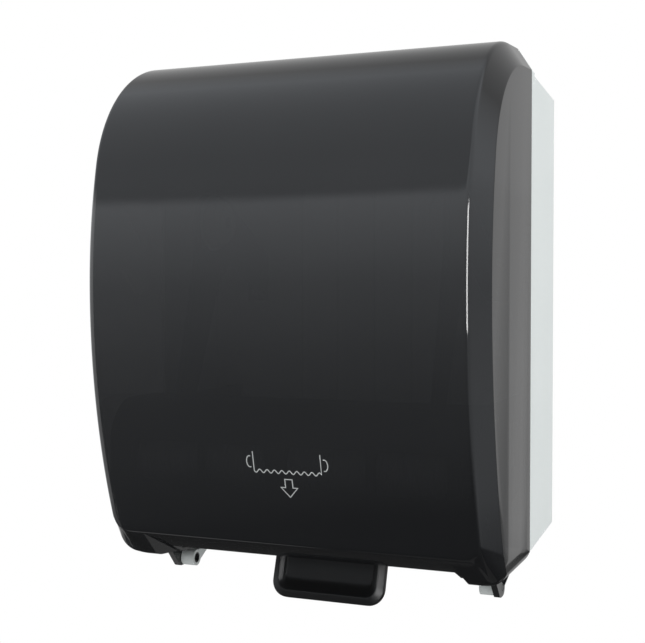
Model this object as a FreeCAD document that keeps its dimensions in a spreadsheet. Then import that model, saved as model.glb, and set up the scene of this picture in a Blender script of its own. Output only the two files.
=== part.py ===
"""Lever paper towel dispenser: a wall-hung cabinet with a smoked front cover, a roll feed and a push lever.

Frame: X to the right, +Y into the wall (the wall is the plane Y = 0), +Z up, millimetres.
The origin is the centre of the wall screw pattern. Every size is a cell of the sheet "Sizes".
"""
import FreeCAD, Part
import math
import os
import Sketcher
from FreeCAD import Placement, Rotation, Vector

doc = FreeCAD.newDocument("LeverTowelDispenser")
sheet = doc.addObject("Spreadsheet::Sheet", "Sizes")
nodes = []


# ---------------------------------------------------------------- sizes and expressions

class Size:
    """A number that remembers the sheet expression it comes from."""

    def __init__(self, value, text):
        self.value = value
        self.text = text

    @staticmethod
    def of(thing):
        return thing if isinstance(thing, Size) else Size(thing, repr(thing))

    def __add__(self, other):
        other = Size.of(other)
        return Size(self.value + other.value, f"({self.text} + {other.text})")

    def __sub__(self, other):
        other = Size.of(other)
        return Size(self.value - other.value, f"({self.text} - {other.text})")

    def __mul__(self, other):
        other = Size.of(other)
        return Size(self.value * other.value, f"({self.text} * {other.text})")

    def __truediv__(self, other):
        other = Size.of(other)
        return Size(self.value / other.value, f"({self.text} / {other.text})")

    def __neg__(self):
        return Size(-self.value, f"(0 - {self.text})")

    def __radd__(self, other):
        return Size.of(other) + self

    def __rsub__(self, other):
        return Size.of(other) - self

    def __rmul__(self, other):
        return Size.of(other) * self


def sine(angle):
    return Size(math.sin(math.radians(angle.value)), f"sin({angle.text})")


def cosine(angle):
    return Size(math.cos(math.radians(angle.value)), f"cos({angle.text})")


def tangent(angle):
    return Size(math.tan(math.radians(angle.value)), f"tan({angle.text})")


def root(size):
    return Size(math.sqrt(size.value), f"sqrt({size.text})")


def polar(centre, radius, angle):
    """The point at a radius and an angle (from +Y towards +Z) about a centre."""
    return centre[0] + radius * cosine(angle), centre[1] + radius * sine(angle)


def size(alias, value, meaning):
    """Writes one driving dimension on the next row of the sheet."""
    size.row += 1
    sheet.set(f"A{size.row}", alias)
    sheet.set(f"B{size.row}", str(value))
    sheet.set(f"C{size.row}", meaning)
    sheet.setAlias(f"B{size.row}", alias)
    return Size(value, f"Sizes.{alias}")


size.row = 0

# cover: smoked shell, its front profile is drawn in the YZ plane
cover_width = size("cover_width", 329.0, "width over the cover's side faces")
cover_depth = size("cover_depth", 235.0, "wall to the most forward point of the cover")
cover_rear = size("cover_rear", 91.0, "wall to the rear edge of the cover")
floor_gap = size("floor_gap", 17.0, "shroud's lowest corner down to the cover's underside")
belly_height = size("belly_height", 20.0, "height of the most forward point above the origin")
brow_radius = size("brow_radius", 476.0, "front profile above the belly")
brow_angle = size("brow_angle", 11.7, "angle that the upper front sweeps through")
crown_radius = size("crown_radius", 115.0, "front profile over the top corner")
crown_slope = size("crown_slope", 4.0, "rise of the top towards the wall, degrees")
chin_radius = size("chin_radius", 555.0, "front profile below the belly")
chin_angle = size("chin_angle", 20.9, "angle that the lower front sweeps through")
under_angle = size("under_angle", 36.7, "slope of the turned-under chin, degrees")
heel_radius = size("heel_radius", 20.0, "rounding behind the chin")
bevel_width = size("bevel_width", 12.3, "width of the side bevel across the dispenser")
bevel_depth = size("bevel_depth", 19.0, "depth of the side bevel, square to the profile")
side_chin_angle = size("side_chin_angle", 21.4, "lower front sweep at the side face")
side_under_angle = size("side_under_angle", 60.0, "slope of the chin at the side face")
side_heel_radius = size("side_heel_radius", 4.0, "rounding behind the chin at the side face")
cover_wall = size("cover_wall", 2.6, "wall of the cover")
relief_start = size("relief_start", 2.5, "flat of the chin above the hand relief")
relief_slope = size("relief_slope", 24.8, "slope of the hand relief under the chin")
relief_margin = size("relief_margin", 37.0, "side face to the hand relief, at its roof")
relief_flare = size("relief_flare", 13.0, "how much wider the hand relief gets downwards")
relief_drop = size("relief_drop", 16.0, "height of the relief cutter")
mouth_margin = size("mouth_margin", 42.5, "side face to the opening in the underside")
mouth_lip = size("mouth_lip", 1.4, "tear bar's screws to the cover's lower lip")
mouth_height = size("mouth_height", 13.0, "underside up to the top of the mouth's cut")

# hinge between cover and housing
hinge_forward = size("hinge_forward", 14.0, "cover's rear edge to the hinge axis")
hinge_below = size("hinge_below", 13.4, "cover's underside down to the hinge axis")
barrel_radius = size("barrel_radius", 7.0, "hinge barrel on the housing")
barrel_margin = size("barrel_margin", 36.0, "cover's side face to the inner end of a barrel")
barrel_length = size("barrel_length", 12.1, "length of a barrel")
hinge_pin_radius = size("hinge_pin_radius", 3.5, "hinge pin")
hinge_pin_recess = size("hinge_pin_recess", 5.0, "inner end of a barrel to the pin's end")
running_fit = size("running_fit", 0.05, "radial clearance of a pin or shaft that turns")
hinge_gap = size("hinge_gap", 0.4, "barrel to cover arm")
arm_thickness = size("arm_thickness", 5.0, "cover arm at the pin")
arm_flare = size("arm_flare", 6.0, "outward spread of the arm's gusset at its root")
arm_root_reach = size("arm_root_reach", 27.0, "hinge axis to the front of the arm's root")
arm_corner = size("arm_corner", 5.0, "rounding of the arm's lower corners")
gusset_thickness = size("gusset_thickness", 3.0, "gusset of the arm")

# housing: light tray on the wall
housing_wall = size("housing_wall", 3.0, "wall of the housing")
side_inset = size("side_inset", 0.5, "tray's side set in from the cover's side face")
tray_front = size("tray_front", 83.0, "wall to the front of the tapered tray")
tray_drop = size("tray_drop", 3.7, "cover's top at its rear edge down to the tray's top")
tray_top_fall = size("tray_top_fall", 7.7, "tray's top, from its front down to the wall")
tray_lift = size("tray_lift", 13.8, "cover's underside up to the tray's")
tray_bottom_rise = size("tray_bottom_rise", 7.2, "tray's underside, from its front up to the wall")
tray_heel_radius = size("tray_heel_radius", 5.0, "rounding of the tray's lower rear edge")
tray_bevel_width = size("tray_bevel_width", 15.0, "bevel of the tray's upper corners, across")
tray_bevel_height = size("tray_bevel_height", 18.0, "bevel of the tray's upper corners, upwards")
rim_rear = size("rim_rear", 79.0, "wall to the step behind the rim")
rim_gap = size("rim_gap", 0.6, "cover's rear edge to the housing's rim")
rim_inset = size("rim_inset", 0.5, "rim set in from the cover's outline")
lip_reach = size("lip_reach", 14.0, "inner lip forward of the cover's rear edge")
lip_gap = size("lip_gap", 0.7, "inner lip to the inside of the cover")
lip_wall = size("lip_wall", 2.0, "wall of the inner lip")
lip_end = size("lip_end", 10.5, "tray's underside up to the end of the inner lip")
bay_rear = size("bay_rear", 40.0, "wall to the rear edge of the opening in the floor")
bay_margin = size("bay_margin", 4.0, "opening in the floor, less than the cover's on each side")
rib_height = size("rib_height", 3.0, "ribs on the inside of the back wall")
rib_width = size("rib_width", 2.5, "width of a rib")
rib_pitch = size("rib_pitch", 36.0, "ribs, apart")
rib_end_gap = size("rib_end_gap", 30.0, "end of a rib to the tray's top and underside")
bracket_rear = size("bracket_rear", 50.0, "wall to the rear end of a barrel's bracket")
bracket_knee = size("bracket_knee", 66.0, "wall to the lower corner of a barrel's bracket")
screw_pitch_x = size("screw_pitch_x", 230.0, "wall screws, apart across")
screw_pitch_z = size("screw_pitch_z", 260.0, "wall screws, apart up and down")
wall_hole_radius = size("wall_hole_radius", 2.75, "hole for a wall screw")

# feed mechanism
feed_setback = size("feed_setback", 53.0, "cover's most forward point back to the feed roller's axis")
feed_drop = size("feed_drop", 118.0, "origin down to the feed roller's axis")
feed_radius = size("feed_radius", 20.0, "feed roller over its sleeves")
core_radius = size("core_radius", 15.0, "tube under the sleeves")
shaft_radius = size("shaft_radius", 4.0, "feed shaft and lever axle")
groove_depth = size("groove_depth", 1.2, "grooves of a sleeve")
groove_count = size("groove_count", 6, "grooves of a sleeve")
groove_top = size("groove_top", 3.2, "width of a groove at the surface")
groove_floor = size("groove_floor", 1.6, "width of a groove at its floor")
sleeve_chamfer = size("sleeve_chamfer", 1.5, "chamfer of a sleeve's ends")
sleeve_margin = size("sleeve_margin", 4.0, "side frame to the outer end of a sleeve")
left_seam = size("left_seam", 71.0, "centre to the outer left sleeve's inner end")
left_gap = size("left_gap", 2.0, "gap between the left sleeves")
middle_left = size("middle_left", 13.0, "centre to the inner left sleeve")
middle_right = size("middle_right", 1.0, "centre to the inner right sleeve")
right_seam = size("right_seam", 69.0, "centre to the inner right sleeve's outer end")
right_gap = size("right_gap", 4.0, "gap between the right sleeves")
core_wall = size("core_wall", 2.0, "wall of the tube under the sleeves")
core_hub_wall = size("core_hub_wall", 3.0, "wall of the tube's hubs round the shaft")
core_cone = size("core_cone", 10.0, "length of the dished ends of the tube")
pinch_radius = size("pinch_radius", 10.0, "pinch roller")
pinch_angle = size("pinch_angle", 20.0, "pinch roller behind and above the feed roller, degrees")
nip_gap = size("nip_gap", 0.3, "gap between the rollers")
pinch_shaft_radius = size("pinch_shaft_radius", 3.0, "pinch roller's shaft")
pinch_inset = size("pinch_inset", 4.0, "pinch sleeve's ends inside the feed sleeve's")
loose_fit = size("loose_fit", 0.3, "gap between fixed parts that lie beside each other")
past = size("past", 1.0, "how far a cut runs past the material")
weld = size("weld", 1.0, "how far joined forms run into each other")
frame_thickness = size("frame_thickness", 4.0, "side frame plate")
frame_nose = size("frame_nose", 16.0, "feed axis forward, and down, to the frame's front")
frame_brow = size("frame_brow", 22.0, "feed axis up to the frame's upper front corner")
frame_shoulder = size("frame_shoulder", 6.0, "feed axis back to the corners behind the frame's front")
frame_keel = size("frame_keel", 54.0, "feed axis down to the frame's lower front corner")
frame_belly = size("frame_belly", 36.0, "lever axle down to the frame's lowest corner")
frame_belly_front = size("frame_belly_front", 38.0, "lever axle forward to the frame's lowest corner")
frame_haunch = size("frame_haunch", 26.0, "lever axle down to the frame's corner under it")
frame_haunch_rear = size("frame_haunch_rear", 6.0, "lever axle back to the frame's corner under it")
frame_heel = size("frame_heel", 4.0, "lever axle down to the frame's corner at the wall")
frame_corner = size("frame_corner", 12.0, "rounding of the frame's corners")
frame_window_gap = size("frame_window_gap", 24.0, "lever axle back to the window in the frame")
frame_post = size("frame_post", 17.0, "strip behind the window in the frame")
frame_beam = size("frame_beam", 20.0, "strip over the window in the frame")
frame_sill = size("frame_sill", 12.0, "lever axle up to the window in the frame")
frame_window_corner = size("frame_window_corner", 6.0, "rounding of the window in the frame")
bush_wall = size("bush_wall", 2.0, "wall of a bearing bush")
bush_flange = size("bush_flange", 1.2, "flange of a bearing bush")
bush_flange_reach = size("bush_flange_reach", 2.0, "flange of a bush over its outer wall")
gear_module = size("gear_module", 2.0, "module of the feed gears")
pinion_teeth = size("pinion_teeth", 16, "teeth of the drive pinion")
sector_teeth = size("sector_teeth", 84, "teeth of the sector gear if it were whole")
sector_cut_teeth = size("sector_cut_teeth", 10, "teeth that the sector has")
gear_width = size("gear_width", 6.0, "face width of the gears")
gear_offset = size("gear_offset", 3.0, "side frame to the gears")
gear_end_gap = size("gear_end_gap", 0.7, "clip beside the gears to the end of the shroud")
gear_backlash = size("gear_backlash", 0.35, "tooth thinning at the pitch circle")
drive_angle = size("drive_angle", 16.26, "lever axle below the feed axis, degrees")

# push lever
lever_tilt = size("lever_tilt", 18.8, "forward lean of the lever, degrees")
lever_reach = size("lever_reach", 100.2, "axle to the lower edge of the paddle")
lever_half_width = size("lever_half_width", 50.0, "half width of the paddle")
lever_shift = size("lever_shift", 1.7, "paddle's middle to the left of the dispenser's")
lever_thickness = size("lever_thickness", 9.0, "paddle over its rim")
lever_setback = size("lever_setback", 0.8, "paddle front ahead of the axle")
paddle_height = size("paddle_height", 56.0, "height of the paddle")
paddle_corner = size("paddle_corner", 14.0, "rounding of the paddle's lower corners")
paddle_top_corner = size("paddle_top_corner", 6.0, "rounding of the paddle's upper corners")
paddle_rim = size("paddle_rim", 6.0, "rim round the paddle's recess")
paddle_recess = size("paddle_recess", 5.0, "depth of the recess")
lever_boss_radius = size("lever_boss_radius", 8.0, "boss on the axle")
lever_boss_half = size("lever_boss_half", 38.0, "half length of the boss")
web_thickness = size("web_thickness", 5.0, "web between boss and paddle")
web_inset = size("web_inset", 4.0, "web's side set in from the end of the boss")
spring_wire = size("spring_wire", 1.6, "wire of the return spring")
spring_turns = size("spring_turns", 5, "turns of the return spring")
spring_front_leg = size("spring_front_leg", 43.0, "leg of the return spring towards the chute")
spring_rear_leg = size("spring_rear_leg", 48.0, "leg of the return spring behind the paddle")
clip_radius = size("clip_radius", 7.0, "retaining clip of a shaft")
clip_thickness = size("clip_thickness", 0.8, "retaining clip of a shaft")
clip_mouth = size("clip_mouth", 0.7, "mouth of a clip over the shaft's diameter")
axle_end = size("axle_end", 2.0, "lever axle past the right side frame")

# roll holder
roll_clearance = size("roll_clearance", 15.0, "wall to the largest roll")
roll_height = size("roll_height", 75.0, "origin up to the roll's axis")
roll_radius = size("roll_radius", 100.0, "largest roll")
roll_length = size("roll_length", 210.0, "length of a roll")
roll_play = size("roll_play", 1.5, "roll end to the arm's face")
roll_arm_thickness = size("roll_arm_thickness", 5.0, "roll arm plate")
arm_eye = size("arm_eye", 24.0, "roll's axis to the edges of the arm's head")
arm_head_round = size("arm_head_round", 20.0, "rounding of the arm's head")
arm_neck_round = size("arm_neck_round", 30.0, "rounding behind the arm's head")
arm_toe_front = size("arm_toe_front", 10.0, "feed axis back to the front of the arm's lower end")
arm_toe_rear = size("arm_toe_rear", 36.0, "feed axis back to the rear of the arm's lower end")
hub_radius = size("hub_radius", 19.0, "plug that fits the roll's core")
hub_depth = size("hub_depth", 13.0, "plug inside the core")
hub_flange = size("hub_flange", 24.0, "radius of the hub's flange")
hub_stub = size("hub_stub", 5.0, "radius of the arm's stub axle")
hub_flange_thickness = size("hub_flange_thickness", 1.2, "flange of a hub")
hub_taper = size("hub_taper", 4.0, "taper of a hub's nose, across and along")

# shroud, chute and tear bar
shroud_inset = size("shroud_inset", 12.5, "cover's side face to the end of the shroud")
shroud_gap = size("shroud_gap", 2.0, "feed roller to the inside of the shroud's front")
shroud_wall = size("shroud_wall", 2.5, "wall of the shroud")
shroud_rise = size("shroud_rise", 47.0, "feed axis up to the top of the shroud")
shroud_back = size("shroud_back", 54.0, "feed axis back to the shroud's rear edge")
shroud_heel = size("shroud_heel", 68.0, "feed axis down to the shroud's lower rear edge")
shroud_keel = size("shroud_keel", 70.0, "feed axis down to the shroud's lowest corner")
shroud_keel_back = size("shroud_keel_back", 22.0, "feed axis back to the shroud's lowest corner")
shroud_toe = size("shroud_toe", 58.0, "feed axis down to the shroud's lower front corner")
shroud_toe_front = size("shroud_toe_front", 4.0, "feed axis forward to the shroud's lower front corner")
shroud_toe_radius = size("shroud_toe_radius", 12.0, "rounding of the shroud's lower front corner")
shroud_lip = size("shroud_lip", 20.0, "feed axis down to the end of the shroud's flat front")
shroud_lip_radius = size("shroud_lip_radius", 20.0, "rounding under the shroud's flat front")
shroud_open_top = size("shroud_open_top", 42.0, "feed axis back to the shroud's open rear, above")
shroud_open_low = size("shroud_open_low", 23.0, "feed axis back to the shroud's open rear, below")
shroud_open_rise = size("shroud_open_rise", 8.0, "feed axis up to where the open rear starts to slope")
shroud_open_drop = size("shroud_open_drop", 42.0, "feed axis down to where the open rear ends its slope")
shroud_radius = size("shroud_radius", 34.0, "upper front rounding of the shroud")
window_height = size("window_height", 33.0, "windows over the feed roller")
window_margin = size("window_margin", 1.5, "sleeve's end to the edge of its window")
window_corner = size("window_corner", 4.0, "rounding of a window's corners")
shroud_boss_radius = size("shroud_boss_radius", 4.5, "screw boss between shroud and side frame")
boss_high_back = size("boss_high_back", 28.0, "feed axis back to the upper screw boss")
boss_high_drop = size("boss_high_drop", 5.7, "top of the side frame down to the upper screw boss")
boss_low_back = size("boss_low_back", 2.0, "feed axis back to the lower screw boss")
boss_low_drop = size("boss_low_drop", 34.0, "feed axis down to the lower screw boss")
wheel_radius = size("wheel_radius", 23.0, "thumb wheel for loading paper")
wheel_width = size("wheel_width", 7.0, "thumb wheel for loading paper")
wheel_notches = size("wheel_notches", 18, "finger notches of the thumb wheel")
notch_radius = size("notch_radius", 2.6, "finger notch")
wheel_gap = size("wheel_gap", 0.5, "thumb wheel to the end of the shroud")
wheel_slot = size("wheel_slot", 0.6, "slot for the thumb wheel, over the wheel's diameter")
chute_wall = size("chute_wall", 2.0, "walls of the chute")
chute_front_back = size("chute_front_back", 27.0, "feed axis back to the front of the chute's lower part")
chute_depth = size("chute_depth", 25.0, "chute's lower part, front to rear")
chute_drop = size("chute_drop", 72.0, "feed axis down to the chute's lower edge")
chute_nose_back = size("chute_nose_back", 14.0, "feed axis back to the chute's front edge")
chute_nose_drop = size("chute_nose_drop", 28.0, "feed axis down to the chute's front edge")
chute_bend_front = size("chute_bend_front", 46.0, "feed axis down to the bend in the chute's front")
chute_bend_rear = size("chute_bend_rear", 32.0, "feed axis down to the bend in the chute's rear")
chute_tail_back = size("chute_tail_back", 36.0, "feed axis back to the chute's rear edge")
chute_tail_drop = size("chute_tail_drop", 11.0, "feed axis down to the chute's rear edge")
chute_tail_wall = size("chute_tail_wall", 1.5, "chute's rear edge, top to bottom")
chute_cheek = size("chute_cheek", 11.0, "chute's rear edge down to the foot of its side cheek")
chute_side = size("chute_side", 8.0, "thickness of the chute's closed ends")
tear_margin = size("tear_margin", 10.0, "tear bar's end inside the opening's edge")
tear_thickness = size("tear_thickness", 1.0, "steel of the tear bar")
tear_height = size("tear_height", 20.0, "height of the tear bar")
tear_screw_margin = size("tear_screw_margin", 12.0, "tear bar's end to its outer screw")
tear_head_height = size("tear_head_height", 1.6, "head of a tear bar screw")
tooth_pitch = size("tooth_pitch", 5.6, "pitch of the tear bar's teeth")
tooth_height = size("tooth_height", 3.2, "height of a tear tooth")

# lock
lock_setback = size("lock_setback", 25.0, "cover's rear edge to the lock's axis")
lock_sink = size("lock_sink", 0.3, "lock's face below the crown at its front edge")
lock_radius = size("lock_radius", 8.0, "lock cylinder")
lock_length = size("lock_length", 13.2, "lock cylinder")
lock_collar = size("lock_collar", 1.5, "thickness of the lock's collar")
collar_gap = size("collar_gap", 0.2, "inside of the crown to the lock's collar")
key_slot_width = size("key_slot_width", 1.8, "key slot")
key_slot_length = size("key_slot_length", 8.0, "key slot")
key_slot_depth = size("key_slot_depth", 3.0, "key slot")
lock_flange = size("lock_flange", 10.5, "radius of the lock's collar")
cam_reach = size("cam_reach", 17.0, "axis to the tip of the cam")
cam_thickness = size("cam_thickness", 2.0, "steel of the cam")
cam_hook = size("cam_hook", 7.0, "turned-down tip of the cam")
cam_eye = size("cam_eye", 7.0, "lock's axis to the edges of the cam's eye")
cam_eye_round = size("cam_eye_round", 5.0, "rounding of the cam's eye")
cam_half_width = size("cam_half_width", 4.0, "half width of the cam's tip")
cam_clear = size("cam_clear", 0.5, "cam down to the top of the strike's tab")
strike_half_width = size("strike_half_width", 5.0, "half width of the strike's tab")
strike_thickness = size("strike_thickness", 2.0, "steel of the strike")
strike_gap = size("strike_gap", 1.5, "strike to the cam's hook")

# fasteners
screw_head_radius = size("screw_head_radius", 3.8, "pan head of an assembly screw")
screw_head_height = size("screw_head_height", 2.4, "pan head of an assembly screw")
screw_shank_radius = size("screw_shank_radius", 1.9, "shank of an assembly screw")
pilot_floor = size("pilot_floor", 0.6, "wall left under a blind screw hole")
frame_flange = size("frame_flange", 12.0, "flange that screws a side frame to the back wall")
flange_thickness = size("flange_thickness", 4.0, "thickness of the screwed flanges")
frame_screw_margin = size("frame_screw_margin", 16.0, "end of a frame's flange to its screw")
screw_gap = size("screw_gap", 3.2, "screw head to the plate beside it")
arm_foot = size("arm_foot", 14.0, "foot that screws a roll arm to the back wall")
arm_foot_height = size("arm_foot_height", 42.0, "height of a roll arm's foot")
arm_foot_drop = size("arm_foot_drop", 25.0, "roll's axis down to the top of the foot")
arm_screw_margin = size("arm_screw_margin", 8.0, "end of a roll arm's foot to its screw")

# places worked out from the sizes
cover_half = cover_width / 2
panel_half = cover_half - bevel_width
mouth_half_width = cover_half - mouth_margin
bay_half_width = mouth_half_width - bay_margin
tear_half_width = mouth_half_width - tear_margin
relief_half_width = cover_half - relief_margin
cover_bottom = feed_drop + shroud_keel + floor_gap
mouth_roof = cover_bottom - mouth_height
barrel_inner = cover_half - barrel_margin
hinge_axis = (-cover_rear - hinge_forward, -cover_bottom - hinge_below)
housing_half_width = cover_half - side_inset
tray_bottom_front = cover_bottom - tray_lift
tray_bottom_rear = tray_bottom_front - tray_bottom_rise
feed_depth = cover_depth - feed_setback
feed_axis = (-feed_depth, -feed_drop)
centre_distance = gear_module * (pinion_teeth + sector_teeth) / 2
lever_axis = polar(feed_axis, centre_distance, -drive_angle)
pinch_axis = polar(feed_axis, feed_radius + nip_gap + pinch_radius, pinch_angle)
roll_axis = (-roll_radius - roll_clearance, roll_height)
shroud_half_width = cover_half - shroud_inset
shroud_inner = shroud_half_width - shroud_wall
shroud_front = feed_depth + feed_radius + shroud_gap + shroud_wall
shroud_top = feed_axis[1] + shroud_rise
gear_outer = shroud_inner - gear_end_gap - clip_thickness
gear_inner = gear_outer - gear_width
frame_outer = gear_inner - gear_offset
frame_inner = frame_outer - frame_thickness
frame_top = shroud_top - shroud_wall - loose_fit
frame_foot = lever_axis[1] - frame_heel
arm_inner = roll_length / 2 + roll_play
arm_outer = arm_inner + roll_arm_thickness
arm_foot_high = roll_height - arm_foot_drop
arm_foot_low = arm_foot_high - arm_foot_height
chute_front = feed_depth - chute_front_back
chute_rear = chute_front - chute_depth
mouth_front = chute_front + tear_thickness + tear_head_height + mouth_lip
chute_bottom = feed_drop + chute_drop
lock_depth = cover_rear + lock_setback


def top_height(depth):
    """Height of the cover's straight top at a distance from the wall."""
    offset = brow_radius - crown_radius
    end_depth = cover_depth - brow_radius + offset * cosine(brow_angle) + crown_radius * sine(crown_slope)
    end_height = belly_height + offset * sine(brow_angle) + crown_radius * cosine(crown_slope)
    return end_height + (end_depth - depth) * tangent(crown_slope)


def crown_height(depth, skin):
    """Height of the crown's arc at a distance from the wall; the straight top never lies lower."""
    offset = brow_radius - crown_radius
    centre_depth = cover_depth - brow_radius + offset * cosine(brow_angle)
    radius = crown_radius - skin
    ahead = depth - centre_depth
    return belly_height + offset * sine(brow_angle) + root(radius * radius - ahead * ahead)


def floor_height(depth):
    """Height of the tray's underside at a distance from the wall."""
    return -tray_bottom_rear - tray_bottom_rise * depth / tray_front


tray_top_front = top_height(cover_rear) - tray_drop - tray_bevel_height
tray_top_rear = tray_top_front - tray_top_fall


# ---------------------------------------------------------------- helpers for the features

def bind(thing, field, amount):
    """Ties a property to the sheet."""
    thing.setExpression(field, Size.of(amount).text)


def put(thing, x=0.0, y=0.0, z=0.0, turn=0.0, axis=Vector(1, 0, 0)):
    """Places an object, with its base tied to the sheet."""
    spots = [Size.of(x), Size.of(y), Size.of(z)]
    turn = Size.of(turn)
    thing.Placement = Placement(Vector(*[spot.value for spot in spots]), Rotation(axis, turn.value))
    for letter, spot in zip("xyz", spots):
        bind(thing, f"Placement.Base.{letter}", spot)
    return thing


def node(thing, label):
    """Names a finished sub-part."""
    thing.Label = label
    nodes.append(thing)
    return thing


def spot(point):
    """A sketch point as numbers, to start the solver from."""
    return Vector(Size.of(point[0]).value, Size.of(point[1]).value, 0)


def corner_points(before, corner, after):
    """Where a corner's rounding starts and ends, and its centre; a sharp corner has no centre."""
    here = spot(corner)
    rounding = Size.of(corner[2]).value if len(corner) > 2 else 0
    if not rounding:
        return here, here, None
    back = (spot(before) - here).normalize()
    on = (spot(after) - here).normalize()
    half = back.getAngle(on) / 2
    reach = rounding / math.tan(half)
    centre = here + (back + on).normalize() * (rounding / math.sin(half))
    return here + back * reach, here + on * reach, centre


def add_arc(sketch, start, end, centre):
    """Adds the shorter arc about a centre; returns it with its point numbers at start and end."""
    turns_left = (start - centre).cross(end - centre).z > 0
    first, last = (start, end) if turns_left else (end, start)
    angles = [math.atan2(point.y - centre.y, point.x - centre.x) for point in (first, last)]
    circle = Part.Circle(centre, Vector(0, 0, 1), start.distanceToPoint(centre))
    index = sketch.addGeometry(Part.ArcOfCircle(circle, *angles))
    return index, (1, 2) if turns_left else (2, 1)


class Outline:
    """A sketch whose corners are dimensioned from its origin and tied to the sheet."""

    def __init__(self, body, plane, offset=0.0):
        self.sketch = body.newObject("Sketcher::SketchObject", f"{body.Name}Sketch")
        role = f"{plane}_Plane"
        base = [part for part in body.Origin.OriginFeatures if part.Role == role][0]
        self.sketch.AttachmentSupport = [(base, "")]
        self.sketch.MapMode = "FlatFace"
        bind(self.sketch, "AttachmentOffset.Base.z", offset)

    def rule(self, *spec, amount=None):
        index = self.sketch.addConstraint(Sketcher.Constraint(*spec))
        if amount is not None:
            self.sketch.setExpression(f"Constraints[{index}]", amount.text)

    def fix(self, geometry, place, x, y):
        """Dimensions a point from the sketch origin, square to both axes."""
        for kind, amount in (("DistanceX", Size.of(x)), ("DistanceY", Size.of(y))):
            self.rule(kind, -1, 1, geometry, place, amount.value, amount=amount)

    def polygon(self, *corners):
        """A closed outline; a corner is (x, y) or (x, y, rounding)."""
        count = len(corners)
        bends = [corner_points(corners[index - 1], corners[index], corners[(index + 1) % count])
                 for index in range(count)]
        lines = [self.sketch.addGeometry(Part.LineSegment(bends[index][1], bends[(index + 1) % count][0]))
                 for index in range(count)]
        for index, corner in enumerate(corners):
            self.join_lines(lines[index - 1], lines[index], corner, bends[index])
        return self

    def join_lines(self, entry, leave, corner, bend):
        """Joins two lines at a corner, by a dimensioned point or by an arc tangent to both."""
        arrive, depart, centre = bend
        if centre is None:
            self.rule("Coincident", entry, 2, leave, 1)
            self.fix(leave, 1, corner[0], corner[1])
            return
        arc, (first, second) = add_arc(self.sketch, arrive, depart, centre)
        radius = Size.of(corner[2])
        self.rule("Tangent", entry, 2, arc, first)
        self.rule("Tangent", arc, second, leave, 1)
        self.rule("Radius", arc, radius.value, amount=radius)
        mark = self.sketch.addGeometry(Part.Point(spot(corner)), True)
        self.fix(mark, 1, corner[0], corner[1])
        self.rule("PointOnObject", mark, 1, entry)
        self.rule("PointOnObject", mark, 1, leave)

    def circle(self, centre, radius):
        ring = self.sketch.addGeometry(Part.Circle(spot(centre), Vector(0, 0, 1), Size.of(radius).value))
        self.fix(ring, 3, centre[0], centre[1])
        self.rule("Radius", ring, Size.of(radius).value, amount=Size.of(radius))
        return self

    def rectangle(self, low, high):
        return self.polygon((low[0], low[1]), (high[0], low[1]), (high[0], high[1]), (low[0], high[1]))


class Piece:
    """A PartDesign body with the few features that this dispenser's mouldings need."""

    def __init__(self, label):
        self.body = doc.addObject("PartDesign::Body", label.title().replace("_", ""))
        self.label = label

    def outline(self, plane, offset=0.0):
        return Outline(self.body, plane, offset)

    def feature(self, kind, outline, **amounts):
        made = self.body.newObject(f"PartDesign::{kind}", f"{self.body.Name}{kind}")
        made.Profile = outline.sketch
        for field, amount in amounts.items():
            if isinstance(amount, bool):
                setattr(made, field, amount)
            else:
                bind(made, field, amount)
        return made

    def pad(self, outline, length):
        """Adds material from the sketch plane along its normal."""
        self.feature("Pad", outline, Length=length)
        return self

    def pocket(self, outline, length):
        """Removes material from the sketch plane along its normal."""
        self.feature("Pocket", outline, Length=length, Reversed=True)
        return self

    def turn(self, outline, kind="Revolution"):
        """Turns a sketch round the body's X axis."""
        made = self.feature(kind, outline)
        axis = [part for part in self.body.Origin.OriginFeatures if part.Role == "X_Axis"][0]
        made.ReferenceAxis = (axis, [""])
        made.Angle = 360.0
        return self

    def loft(self, first, second, kind="AdditiveLoft"):
        """Joins two outlines on parallel planes by straight walls."""
        made = self.feature(kind, first)
        made.Sections = [(second.sketch, [""])]
        made.Ruled = True
        return self

    def finish(self):
        return node(self.body, self.label)


def cylinder(name, radius, length, start, y=0.0, z=0.0):
    """A round bar along X from the given start."""
    bar = doc.addObject("Part::Cylinder", name)
    bind(bar, "Radius", radius)
    bind(bar, "Height", length)
    bar.Placement = Placement(Vector(Size.of(start).value, Size.of(y).value, Size.of(z).value),
                              Rotation(Vector(0, 1, 0), 90))
    for letter, spot in zip("xyz", (start, y, z)):
        bind(bar, f"Placement.Base.{letter}", spot)
    return bar


def join(name, parts):
    made = doc.addObject("Part::MultiFuse", name)
    made.Shapes = parts
    return made


def group(name, parts):
    made = doc.addObject("Part::Compound", name)
    made.Links = parts
    return made


def subtract(name, base, tool):
    made = doc.addObject("Part::Cut", name)
    made.Base = base
    made.Tool = tool
    return made

def sides():
    """Both sides of the dispenser: name and sign along X."""
    return (("left", -1), ("right", 1))


def span(sign, near, length):
    """Where a slab starts that lies between near and near + length on one side."""
    return near if sign > 0 else -(near + length)


def drill(piece, sign, near, length, centre, radius):
    """A round hole along X through what lies between near and near + length on one side."""
    outline = piece.outline("YZ", span(sign, near - past, length + 2 * past))
    piece.pocket(outline.circle(centre, radius), length + 2 * past)


def frame_screw_spots():
    """Centres of the side frames' screws in the back wall."""
    x = frame_outer + screw_head_radius + screw_gap
    return [(sign * x, z) for name, sign in sides()
            for z in (frame_top - frame_screw_margin, frame_foot + frame_screw_margin)]


def arm_screw_spots():
    """Centres of the roll arms' screws in the back wall."""
    x = arm_outer + screw_head_radius + screw_gap
    return [(sign * x, z) for name, sign in sides()
            for z in (arm_foot_low + arm_screw_margin, arm_foot_high - arm_screw_margin)]


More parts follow.
